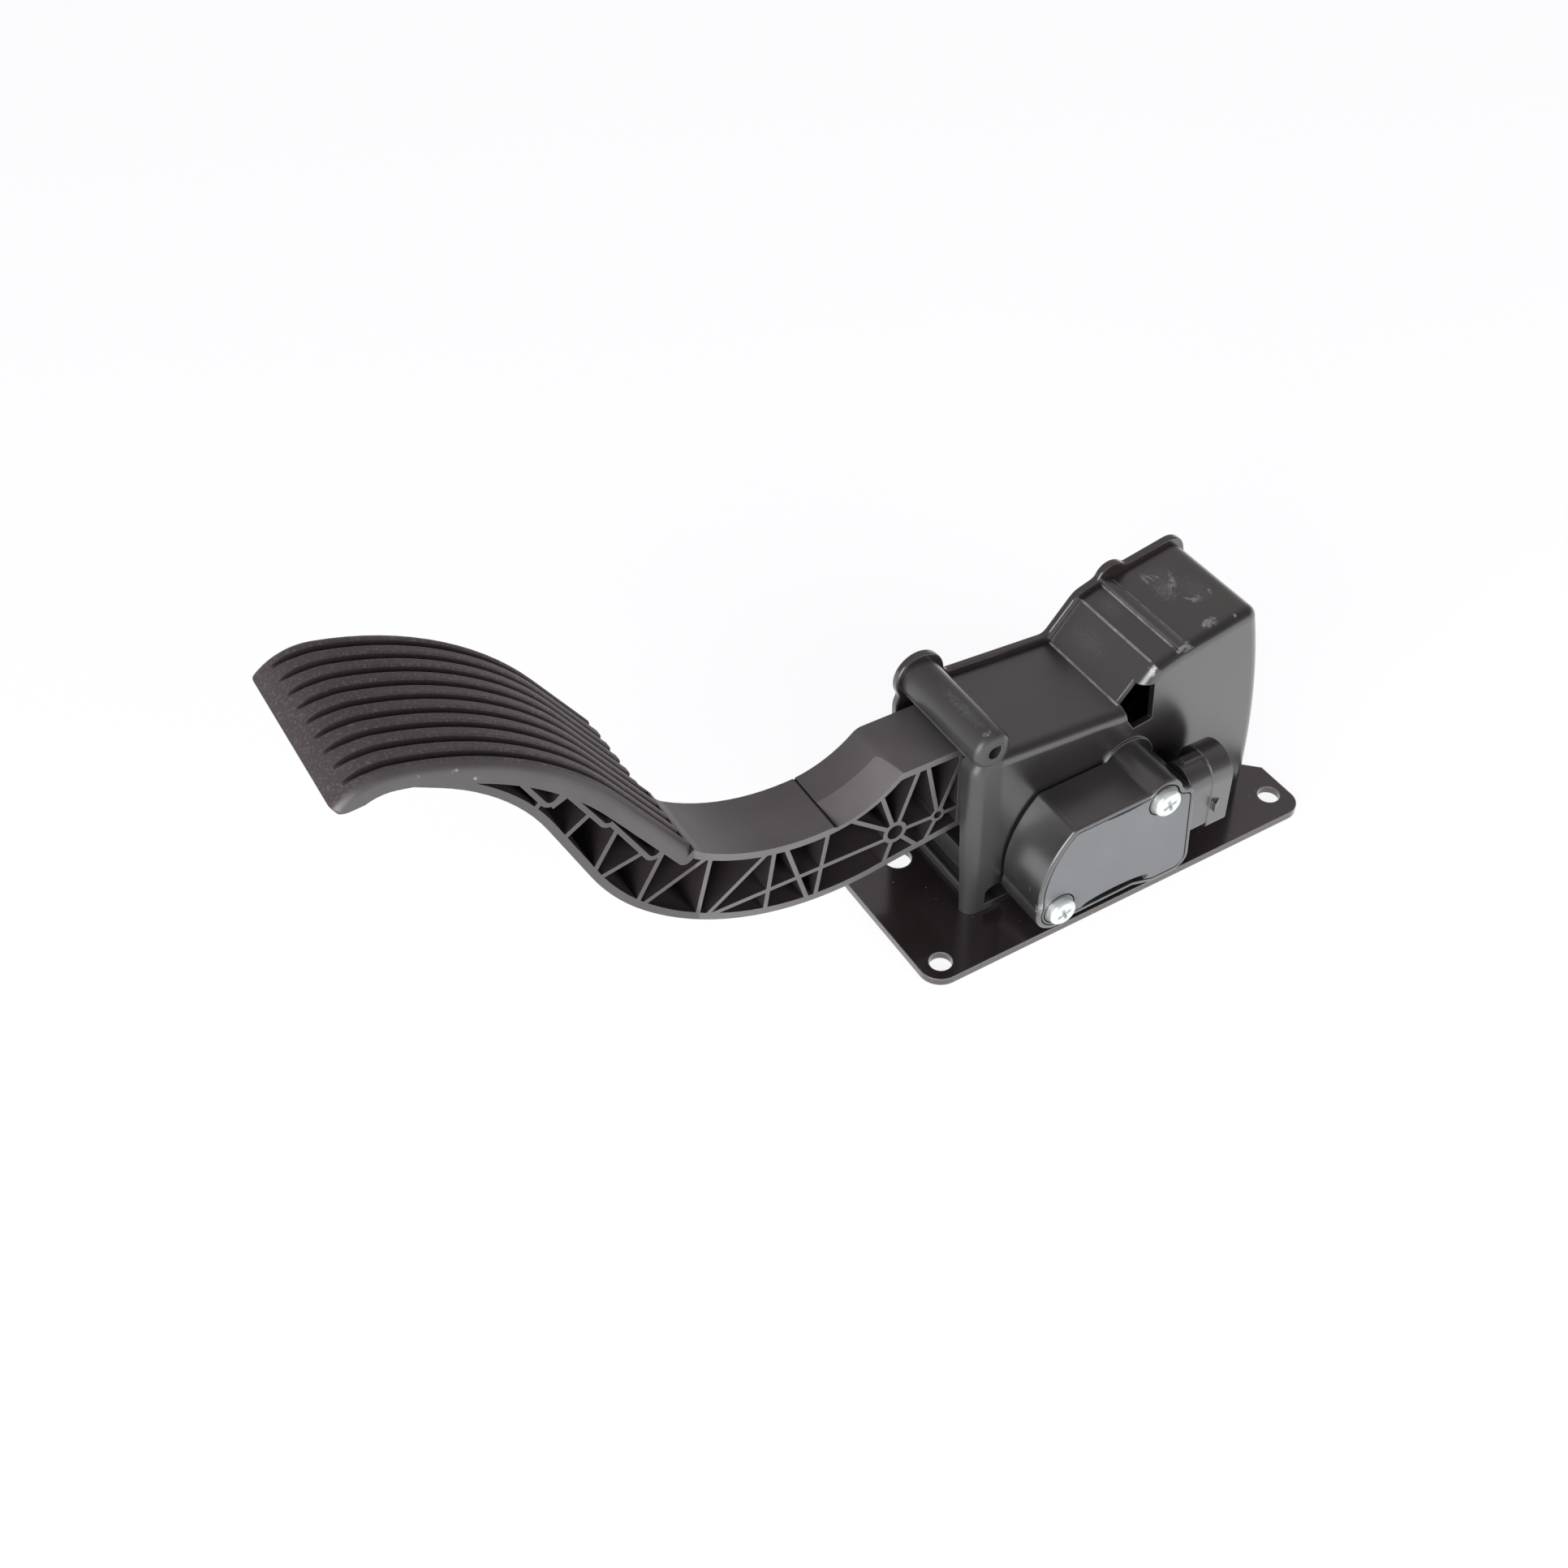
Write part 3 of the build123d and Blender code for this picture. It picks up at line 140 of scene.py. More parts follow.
class Surface:
    """A material while it is put together: its tree, its shader and what its patterns read."""

    def __init__(self, name: str, soft_edge_mm: float) -> None:
        """Starts an empty material with one principled shader.

        Args:
            name: Name of the material, for what it is and how it was made.
            soft_edge_mm: Radius by which the soft normal is rounded over at edges.
        """
        self.material = bpy.data.materials.new(name)
        self.material.use_nodes = True
        self.tree = self.material.node_tree
        self.tree.nodes.clear()
        output = add_node(self.tree, "ShaderNodeOutputMaterial")
        self.shader = add_node(self.tree, "ShaderNodeBsdfPrincipled")
        self.tree.links.new(self.shader.outputs[0], output.inputs[0])
        self.place = add_node(self.tree, "ShaderNodeTexCoord").outputs["Object"]
        self.normal = add_node(self.tree, "ShaderNodeNewGeometry").outputs["True Normal"]
        self.soft = add_node(
            self.tree, "ShaderNodeBevel", {"Radius": soft_edge_mm * MM}, samples=SOFT_SAMPLES
        ).outputs[0]

    def set(self, **values: Any) -> None:
        """Sets constants on the shader's own sockets, underscores standing for spaces."""
        for key, value in values.items():
            self.shader.inputs[key.replace("_", " ")].default_value = value

    def feed(self, socket: str, source: bpy.types.NodeSocket) -> None:
        """Links a pattern to one of the shader's sockets."""
        self.tree.links.new(source, self.shader.inputs[socket])

    def edges(self, gain: float = EDGE_GAIN) -> bpy.types.NodeSocket:
        """Mask of the edges: how far the soft normal leans from the flat one, times gain.

        Args:
            gain: How quickly the mask reaches 1.

        Returns:
            The mask.
        """
        lean = add_node(self.tree, "ShaderNodeVectorMath", {0: self.soft, 1: self.normal}, operation="DOT_PRODUCT")
        return add_node(
            self.tree, "ShaderNodeMapRange",
            {"Value": lean.outputs["Value"], "From Min": 1.0, "From Max": 1 - 1 / gain},
        ).outputs[0]

    def hollows(self, reach_mm: float) -> tuple[bpy.types.NodeSocket, bpy.types.NodeSocket]:
        """Masks of the piece's own hollows: 0 in the open, and 1 where walls stand close by or nearly all round.

        Args:
            reach_mm: How far a wall still counts.

        Returns:
            The mask of grooves and corners, and the mask of deep pockets alone.
        """
        reach = add_node(
            self.tree, "ShaderNodeAmbientOcclusion", {"Distance": reach_mm * MM}, samples=SOFT_SAMPLES,
            only_local=True,
        )
        shallow, deep = (
            add_node(
                self.tree, "ShaderNodeMapRange", {"Value": reach.outputs["AO"], "From Min": far, "From Max": near}
            )
            for far, near in (GROOVE_ROOM, POCKET_ROOM)
        )
        return shallow.outputs[0], deep.outputs[0]

    def marks(self, marks: Iterable[Mark], ragged_mm: float) -> bpy.types.NodeSocket:
        """Mask of a set of scuffs and painted highlights with ragged rims and bare gaps inside.

        Each one is 1 at its middle and falls to 0 at its half-widths, after the place is shaken by noise. The
        sum is broken up by the same noise at a third of the size.

        Args:
            marks: The scuffs and painted highlights.
            ragged_mm: Size of the ragged detail.

        Returns:
            The mask, the sum of all marks.
        """
        shake = add_node(
            self.tree, "ShaderNodeTexNoise", {"Vector": self.place, "Scale": per_mm(ragged_mm), "Detail": 6.0}
        )
        flecks = add_node(
            self.tree, "ShaderNodeTexNoise", {"Vector": self.place, "Scale": per_mm(ragged_mm / 3), "Detail": 5.0}
        )
        gaps = add_node(
            self.tree, "ShaderNodeMapRange",
            {"Value": flecks.outputs[0], "From Min": SCUFF_GAPS[0], "From Max": SCUFF_GAPS[1]},
        )
        total = None
        for mark in marks:
            reach = add_node(
                self.tree, "ShaderNodeMapping",
                {
                    "Vector": self.place,
                    "Location": Vector(mark.at) * MM,
                    "Rotation": (0.0, 0.0, np.radians(mark.turn)),
                    "Scale": Vector(mark.size) * MM,
                },
                vector_type="TEXTURE",
            )
            away = add_node(self.tree, "ShaderNodeVectorMath", {0: reach.outputs[0]}, operation="LENGTH")
            torn = add_node(
                self.tree, "ShaderNodeMath", {0: shake.outputs[0], 1: SCUFF_SHAKE, 2: away.outputs["Value"]},
                operation="MULTIPLY_ADD",
            )
            patch = add_node(
                self.tree, "ShaderNodeMapRange",
                {"Value": torn.outputs[0], "From Min": SCUFF_RIM[0], "From Max": SCUFF_RIM[1],
                 "To Max": mark.strength},
            )
            if total is None:
                total = patch.outputs[0]
            else:
                total = add_node(self.tree, "ShaderNodeMath", {0: total, 1: patch.outputs[0]}).outputs[0]
        return add_node(
            self.tree, "ShaderNodeMath", {0: total, 1: gaps.outputs[0]}, operation="MULTIPLY"
        ).outputs[0]


@dataclass(frozen=True)
class Moulding:
    """Injection-moulded plastic: a spark-eroded grain, faint flow clouds, scuffs, and paler edges that are rubbed
    wear and a painted highlight; where the second colour is dark, the edges get a painted shade line instead.

    In front of matt_x_mm, where that is given, it is rougher by matt_roughness, keeps the share matt_coat of its coat
    and takes the share matt_dust of its edge and scuff colour.
    """

    name: str
    colour: str
    # Colour of scuffs, specks and edges; at edges it is also painted light, a pale highlight on the housing and a
    # dark shade line on the lid.
    wear_and_edge_shading: str = "#6d6b6a"
    grain_mm: float = 0.5
    grain_depth_mm: float = 0.02
    cloud_mm: float = 18.0
    cloud: float = 0.18
    roughness: float = 0.45
    gloss_spread: float = 0.07
    soft_edge_mm: float = 0.5
    edge_wear_and_shading: float = 0.35
    speck: float = 0.0
    speck_range: tuple[float, float] = (0.64, 0.74)
    sheen: float = 0.5
    coat: float = 0.0
    coat_ior: float = 1.7
    coat_smoothing: float = 0.8
    matt_x_mm: float | None = None
    matt_fade_mm: float = 1.0
    matt_roughness: float = 0.2
    matt_coat: float = 0.25
    matt_dust: float = 0.04
    ragged_mm: float = 1.5
    marks: tuple[Mark, ...] = ()

    def material(self) -> bpy.types.Material:
        """Builds the node material: colour by clouds, then wear and painted edge light over it, then gloss and grain.

        Returns:
            The new material.
        """
        skin = Surface(self.name, self.soft_edge_mm)
        tree = skin.tree
        edge = skin.edges()
        clouds = add_node(
            tree, "ShaderNodeTexNoise", {"Vector": skin.place, "Scale": per_mm(self.cloud_mm), "Detail": 4.0}
        )
        grain = add_node(
            tree, "ShaderNodeTexNoise", {"Vector": skin.place, "Scale": per_mm(self.grain_mm), "Detail": 2.0}
        )
        tone = add_node(
            tree, "ShaderNodeMapRange",
            {"Value": clouds.outputs[0], "From Min": CLOUD_RANGE[0], "From Max": CLOUD_RANGE[1],
             "To Min": 1 - self.cloud, "To Max": 1 + self.cloud},
        )
        base = add_node(
            tree, "ShaderNodeMix", {"Factor": 1.0, 6: linear(self.colour), 7: tone.outputs[0]},
            data_type="RGBA", blend_type="MULTIPLY",
        )
        # Edge mask broken by clouds: rubbed wear, and painted light at the edges, a highlight when the second colour
        # is pale and a shade line when it is dark.
        wear_and_edge_light_mask = add_node(tree, "ShaderNodeMath", {0: edge, 1: clouds.outputs[0]}, operation="MULTIPLY")
        wear = add_node(
            tree, "ShaderNodeMath", {0: wear_and_edge_light_mask.outputs[0], 1: self.edge_wear_and_shading}, operation="MULTIPLY"
        ).outputs[0]
        if self.speck:
            dots = add_node(
                tree, "ShaderNodeMapRange",
                {"Value": grain.outputs[0], "From Min": self.speck_range[0], "From Max": self.speck_range[1],
                 "To Max": self.speck},
            )
            wear = add_node(tree, "ShaderNodeMath", {0: wear, 1: dots.outputs[0]}).outputs[0]
        if self.marks:
            wear = add_node(tree, "ShaderNodeMath", {0: wear, 1: skin.marks(self.marks, self.ragged_mm)}).outputs[0]
        gloss = add_node(
            tree, "ShaderNodeMapRange",
            {"Value": clouds.outputs[0], "To Min": self.roughness - self.gloss_spread,
             "To Max": self.roughness + self.gloss_spread},
        )
        if self.matt_x_mm is not None:
            spot = add_node(tree, "ShaderNodeSeparateXYZ", {0: skin.place})
            matt, thin, dust = (
                add_node(
                    tree, "ShaderNodeMapRange",
                    {"Value": spot.outputs[0], "From Min": (self.matt_x_mm + self.matt_fade_mm) * MM,
                     "From Max": (self.matt_x_mm - self.matt_fade_mm) * MM, "To Min": behind, "To Max": before},
                )
                for behind, before in (
                    (0.0, self.matt_roughness), (self.coat, self.coat * self.matt_coat), (0.0, self.matt_dust)
                )
            )
            gloss = add_node(tree, "ShaderNodeMath", {0: gloss.outputs[0], 1: matt.outputs[0]})
            wear = add_node(tree, "ShaderNodeMath", {0: wear, 1: dust.outputs[0]}).outputs[0]
            skin.feed("Coat Weight", thin.outputs[0])
        limit = add_node(tree, "ShaderNodeClamp", {"Value": wear})
        colour = add_node(
            tree, "ShaderNodeMix", {"Factor": limit.outputs[0], 6: base.outputs[2], 7: linear(self.wear_and_edge_shading)},
            data_type="RGBA",
        )
        bump = add_node(
            tree, "ShaderNodeBump",
            {"Height": grain.outputs[0], "Distance": self.grain_depth_mm * MM, "Normal": skin.soft},
        )
        skin.set(
            IOR=PLASTIC_IOR, Specular_IOR_Level=self.sheen, Coat_Weight=self.coat, Coat_IOR=self.coat_ior,
            Coat_Roughness=self.roughness * self.coat_smoothing,
        )
        skin.feed("Base Color", colour.outputs[2])
        skin.feed("Roughness", gloss.outputs[0])
        skin.feed("Normal", bump.outputs[0])
        skin.feed("Coat Normal", skin.soft)
        return skin.material


@dataclass(frozen=True)
class TreadedNylon:
    """Glass-filled nylon of the arm: a coarse grained tread, a satin top and smooth grey sides.

    Painted shade, with some shoe dirt, darkens the tread's grooves and the rims of the rib pockets and takes their
    sheen away, so that they stay dark whichever way they face. Deep in the pockets the painted shade is lighter. A
    paler facet on the back, where it leans towards the near side, is a painted highlight. A range named for a way of
    facing holds the parts of the normal along Y between which its mask goes from 0 to 1.
    """

    name: str
    tread: str
    top: str
    # Paler colour of the back where it leans towards the near side: a painted highlight.
    facet_highlight: str
    side: str
    rim: str
    pale: str
    # Colours of the painted shade, with some shoe dirt: darkest in grooves and pocket rims, lighter deep in the
    # pockets.
    grime_and_shade: str
    pocket_shade: str
    tread_end_x_mm: float
    near_y_mm: float
    tread_fade_mm: float = 0.4
    tread_sheen: float = 0.28
    tread_roughness: float = 0.62
    back_roughness: float = 0.42
    grain_mm: float = 1.0
    grain_depth_mm: float = 0.09
    speck: float = 0.24
    speck_range: tuple[float, float] = (0.52, 0.72)
    bloom: float = 0.15
    bloom_tint: str = "#dcd4d6"
    bloom_roughness: float = 0.5
    fine_mm: float = 0.3
    fine_depth_mm: float = 0.01
    cloud_mm: float = 22.0
    cloud: float = 0.16
    upright_range: tuple[float, float] = (0.88, 0.97)
    leaning_range: tuple[float, float] = (0.3, 0.5)
    facet_highlight_range: tuple[float, float] = (-0.03, -0.07)
    soft_edge_mm: float = 0.4
    edge_wear_and_shading: float = 0.25
    edge_band_mm: float = 3.0
    hollow_reach_mm: float = 25.0
    ragged_mm: float = 1.2
    marks: tuple[Mark, ...] = ()

    def material(self) -> bpy.types.Material:
        """Builds the node material, split by where a point is and which way it faces.

        Returns:
            The new material.
        """
        skin = Surface(self.name, self.soft_edge_mm)
        tree = skin.tree
        edge = skin.edges()
        facing = add_node(tree, "ShaderNodeSeparateXYZ", {0: skin.normal})
        across = add_node(tree, "ShaderNodeMath", {0: facing.outputs[1]}, operation="ABSOLUTE")
        upright, leaning, facet_highlight_mask = (
            add_node(tree, "ShaderNodeMapRange", {"Value": part, "From Min": start, "From Max": full})
            for part, (start, full) in (
                (across.outputs[0], self.upright_range), (across.outputs[0], self.leaning_range),
                (facing.outputs[1], self.facet_highlight_range),
            )
        )
        spot = add_node(tree, "ShaderNodeSeparateXYZ", {0: skin.place})
        outer = add_node(
            tree, "ShaderNodeMapRange",
            {"Value": spot.outputs[1], "From Min": (self.near_y_mm + self.edge_band_mm + 1) * MM,
             "From Max": (self.near_y_mm + self.edge_band_mm) * MM},
        )
        edging = add_node(
            tree, "ShaderNodeMath", {0: leaning.outputs[0], 1: outer.outputs[0]}, operation="MULTIPLY"
        )
        side = add_node(
            tree, "ShaderNodeMath", {0: upright.outputs[0], 1: edging.outputs[0]}, operation="MAXIMUM"
        ).outputs[0]
        front = add_node(
            tree, "ShaderNodeMapRange",
            {"Value": spot.outputs[0], "From Min": (self.tread_end_x_mm + self.tread_fade_mm) * MM,
             "From Max": (self.tread_end_x_mm - self.tread_fade_mm) * MM},
        ).outputs[0]
        clouds = add_node(
            tree, "ShaderNodeTexNoise", {"Vector": skin.place, "Scale": per_mm(self.cloud_mm), "Detail": 5.0}
        )
        grain = add_node(
            tree, "ShaderNodeTexNoise", {"Vector": skin.place, "Scale": per_mm(self.grain_mm), "Detail": 3.0}
        )
        fine = add_node(
            tree, "ShaderNodeTexNoise", {"Vector": skin.place, "Scale": per_mm(self.fine_mm), "Detail": 2.0}
        )
        # The paler facet colour where the back leans towards the near side is a painted highlight.
        back = add_node(
            tree, "ShaderNodeMix", {"Factor": facet_highlight_mask.outputs[0], 6: linear(self.top), 7: linear(self.facet_highlight)},
            data_type="RGBA",
        )
        upper = add_node(
            tree, "ShaderNodeMix", {"Factor": front, 6: back.outputs[2], 7: linear(self.tread)}, data_type="RGBA"
        )
        flank = add_node(
            tree, "ShaderNodeMix", {"Factor": front, 6: linear(self.side), 7: linear(self.rim)}, data_type="RGBA"
        )
        plain = add_node(
            tree, "ShaderNodeMix", {"Factor": side, 6: upper.outputs[2], 7: flank.outputs[2]}, data_type="RGBA"
        )
        tone = add_node(
            tree, "ShaderNodeMapRange",
            {"Value": clouds.outputs[0], "From Min": CLOUD_RANGE[0], "From Max": CLOUD_RANGE[1],
             "To Min": 1 - self.cloud, "To Max": 1 + self.cloud},
        )
        base = add_node(
            tree, "ShaderNodeMix", {"Factor": 1.0, 6: plain.outputs[2], 7: tone.outputs[0]},
            data_type="RGBA", blend_type="MULTIPLY",
        )
        upward = add_node(tree, "ShaderNodeMath", {0: 1.0, 1: side}, operation="SUBTRACT")
        gripped = add_node(tree, "ShaderNodeMath", {0: front, 1: upward.outputs[0]}, operation="MULTIPLY").outputs[0]
        dots = add_node(
            tree, "ShaderNodeMapRange",
            {"Value": grain.outputs[0], "From Min": self.speck_range[0], "From Max": self.speck_range[1],
             "To Max": self.speck},
        )
        specks = add_node(tree, "ShaderNodeMath", {0: dots.outputs[0], 1: gripped}, operation="MULTIPLY")
        wear = add_node(
            tree, "ShaderNodeMath", {0: edge, 1: self.edge_wear_and_shading, 2: specks.outputs[0]}, operation="MULTIPLY_ADD"
        ).outputs[0]
        if self.marks:
            wear = add_node(tree, "ShaderNodeMath", {0: wear, 1: skin.marks(self.marks, self.ragged_mm)}).outputs[0]
        limit = add_node(tree, "ShaderNodeClamp", {"Value": wear})
        colour = add_node(
            tree, "ShaderNodeMix", {"Factor": limit.outputs[0], 6: base.outputs[2], 7: linear(self.pale)},
            data_type="RGBA",
        )
        # Painted shade, with some dirt: the more closed in a point is, the darker its colour and the less its sheen.
        depth, pocket = skin.hollows(self.hollow_reach_mm)
        hollow_shade_colour = add_node(
            tree, "ShaderNodeMix", {"Factor": pocket, 6: linear(self.grime_and_shade), 7: linear(self.pocket_shade)}, data_type="RGBA"
        )
        shaded_colour = add_node(
            tree, "ShaderNodeMix", {"Factor": depth, 6: colour.outputs[2], 7: hollow_shade_colour.outputs[2]}, data_type="RGBA"
        )
        satin = add_node(tree, "ShaderNodeMapRange", {"Value": gripped, "To Min": 1.0, "To Max": self.tread_sheen})
        unshaded_share = add_node(tree, "ShaderNodeMath", {0: 1.0, 1: depth}, operation="SUBTRACT")
        sheen = add_node(tree, "ShaderNodeMath", {0: satin.outputs[0], 1: unshaded_share.outputs[0]}, operation="MULTIPLY")
        dusty = add_node(tree, "ShaderNodeMath", {0: gripped, 1: unshaded_share.outputs[0]}, operation="MULTIPLY")
        bloom = add_node(tree, "ShaderNodeMath", {0: dusty.outputs[0], 1: self.bloom}, operation="MULTIPLY")
        gloss = add_node(
            tree, "ShaderNodeMapRange",
            {"Value": gripped, "To Min": self.back_roughness, "To Max": self.tread_roughness},
        )
        coarse = add_node(tree, "ShaderNodeMath", {0: grain.outputs[0], 1: gripped}, operation="MULTIPLY")
        rough = add_node(
            tree, "ShaderNodeBump",
            {"Height": coarse.outputs[0], "Distance": self.grain_depth_mm * MM, "Normal": skin.soft},
        )
        bump = add_node(
            tree, "ShaderNodeBump",
            {"Height": fine.outputs[0], "Distance": self.fine_depth_mm * MM, "Normal": rough.outputs[0]},
        )
        skin.feed("Base Color", shaded_colour.outputs[2])
        skin.feed("Specular IOR Level", sheen.outputs[0])
        skin.feed("Roughness", gloss.outputs[0])
        skin.feed("Sheen Weight", bloom.outputs[0])
        skin.feed("Normal", bump.outputs[0])
        skin.set(IOR=PLASTIC_IOR, Sheen_Roughness=self.bloom_roughness, Sheen_Tint=linear(self.bloom_tint))
        return skin.material


@dataclass(frozen=True)
class GlossPaint:
    """Black stove enamel on steel sheet: deep gloss, a slight orange peel, dust, and pressed edges painted pale as a
    highlight.
    """

    name: str
    colour: str
    # Colour of the dust specks, which the edges also take as a painted highlight.
    dust: str
    peel_mm: float = 3.0
    peel_depth_mm: float = 0.004
    dust_mm: float = 2.2
    dust_share: float = 0.1
    dust_cover: float = 0.7
    dust_rim: tuple[float, float] = (0.14, 0.06)
    soft_edge_mm: float = 0.8
    edge_gain: float = 5.0
    edge_wear_and_shading: float = 0.75
    smoothest: float = 0.11
    roughest: float = 0.23
    lacquer: float = 0.6
    lacquer_ior: float = 1.6
    lacquer_roughness: float = 0.1

    def material(self) -> bpy.types.Material:
        """Builds the node material: dust, and edges painted pale as a highlight, over the colour, and the peel in
        gloss and bump.

        Returns:
            The new material.
        """
        skin = Surface(self.name, self.soft_edge_mm)
        tree = skin.tree
        edge = skin.edges(self.edge_gain)
        peel = add_node(
            tree, "ShaderNodeTexNoise", {"Vector": skin.place, "Scale": per_mm(self.peel_mm), "Detail": 3.0}
        )
        cells = add_node(
            tree, "ShaderNodeTexVoronoi", {"Vector": skin.place, "Scale": per_mm(self.dust_mm)}, feature="F1"
        )
        pick = add_node(tree, "ShaderNodeSeparateColor", {0: cells.outputs["Color"]})
        few = add_node(
            tree, "ShaderNodeMath", {0: pick.outputs[0], 1: 1 - self.dust_share}, operation="GREATER_THAN"
        )
        dots = add_node(
            tree, "ShaderNodeMapRange",
            {"Value": cells.outputs["Distance"], "From Min": self.dust_rim[0], "From Max": self.dust_rim[1],
             "To Max": self.dust_cover},
        )
        specks = add_node(tree, "ShaderNodeMath", {0: few.outputs[0], 1: dots.outputs[0]}, operation="MULTIPLY")
        # Edges painted pale as a highlight, plus the dust specks.
        pale = add_node(
            tree, "ShaderNodeMath", {0: edge, 1: self.edge_wear_and_shading, 2: specks.outputs[0]}, operation="MULTIPLY_ADD"
        )
        limit = add_node(tree, "ShaderNodeClamp", {"Value": pale.outputs[0]})
        colour = add_node(
            tree, "ShaderNodeMix", {"Factor": limit.outputs[0], 6: linear(self.colour), 7: linear(self.dust)},
            data_type="RGBA",
        )
        gloss = add_node(
            tree, "ShaderNodeMapRange",
            {"Value": peel.outputs[0], "To Min": self.smoothest, "To Max": self.roughest},
        )
        bump = add_node(
            tree, "ShaderNodeBump",
            {"Height": peel.outputs[0], "Distance": self.peel_depth_mm * MM, "Normal": skin.soft},
        )
        skin.feed("Base Color", colour.outputs[2])
        skin.feed("Roughness", gloss.outputs[0])
        skin.feed("Normal", bump.outputs[0])
        skin.set(
            IOR=PLASTIC_IOR, Specular_IOR_Level=1.0, Coat_Weight=self.lacquer, Coat_IOR=self.lacquer_ior,
            Coat_Roughness=self.lacquer_roughness,
        )
        return skin.material


@dataclass(frozen=True)
class WorkedMetal:
    """Bare or plated metal: its tint, a clouded gloss and the fine lines that its making leaves."""

    name: str
    colour: str
    stain: str
    roughness: float
    metallic: float = 1.0
    line_mm: float = 0.25
    line_stretch: tuple[float, float, float] = (1.0, 1.0, 1.0)
    line_depth_mm: float = 0.004
    cloud_mm: float = 2.5
    stain_range: tuple[float, float] = (0.4, 0.7)
    stain_cover: float = 0.6
    gloss_spread: tuple[float, float] = (0.75, 1.3)
    soft_edge_mm: float = 0.25

    def material(self) -> bpy.types.Material:
        """Builds the node material: stains by clouds, and the lines as a bump.

        Returns:
            The new material.
        """
        skin = Surface(self.name, self.soft_edge_mm)
        tree = skin.tree
        clouds = add_node(
            tree, "ShaderNodeTexNoise", {"Vector": skin.place, "Scale": per_mm(self.cloud_mm), "Detail": 4.0}
        )
        along = add_node(tree, "ShaderNodeMapping", {"Vector": skin.place, "Scale": self.line_stretch})
        lines = add_node(
            tree, "ShaderNodeTexNoise", {"Vector": along.outputs[0], "Scale": per_mm(self.line_mm), "Detail": 2.0}
        )
        dull = add_node(
            tree, "ShaderNodeMapRange",
            {"Value": clouds.outputs[0], "From Min": self.stain_range[0], "From Max": self.stain_range[1],
             "To Max": self.stain_cover},
        )
        colour = add_node(
            tree, "ShaderNodeMix", {"Factor": dull.outputs[0], 6: linear(self.colour), 7: linear(self.stain)},
            data_type="RGBA",
        )
        gloss = add_node(
            tree, "ShaderNodeMapRange",
            {"Value": clouds.outputs[0], "To Min": self.roughness * self.gloss_spread[0],
             "To Max": self.roughness * self.gloss_spread[1]},
        )
        bump = add_node(
            tree, "ShaderNodeBump",
            {"Height": lines.outputs[0], "Distance": self.line_depth_mm * MM, "Normal": skin.soft},
        )
        skin.feed("Base Color", colour.outputs[2])
        skin.feed("Roughness", gloss.outputs[0])
        skin.feed("Normal", bump.outputs[0])
        skin.set(Metallic=self.metallic)
        return skin.material


# Glass-filled nylon from a spark-eroded tool: a dull sandy tread, a satin grey back and smooth flanks, with painted
# shade and some dirt in what is sunk, and painted highlights on a facet of the back and on the nose. The tread's
# grain of about 0.3 mm is drawn at 1 mm, and a finer one at 0.3 to 0.5 mm here and below, or they wouldn't show.
ARM_NYLON = TreadedNylon(
    "glass_filled_nylon_treaded",
    tread="#474042", top="#565354", facet_highlight="#6d6a6b", side="#5e5d5d", rim="#423f40", pale="#9b9896", grime_and_shade="#261f20",
    pocket_shade="#3e3839", tread_end_x_mm=-80.9, near_y_mm=26.4,
    marks=(
        Mark((-164.0, 26.4, 159.0), (0.5, 0.8, 2.0), 0.8),
        Mark((-153.0, 26.4, 154.6), (1.6, 0.8, 1.0), 0.8),
        Mark((-147.9, 26.4, 149.0), (0.8, 0.8, 0.8), 1.0),
        # Pale patch over the nose: a painted highlight where the nose faces up and to the left.
        Mark((-206.0, 60.0, 153.0), (12.0, 70.0, 18.0), 0.14),
    ),
)
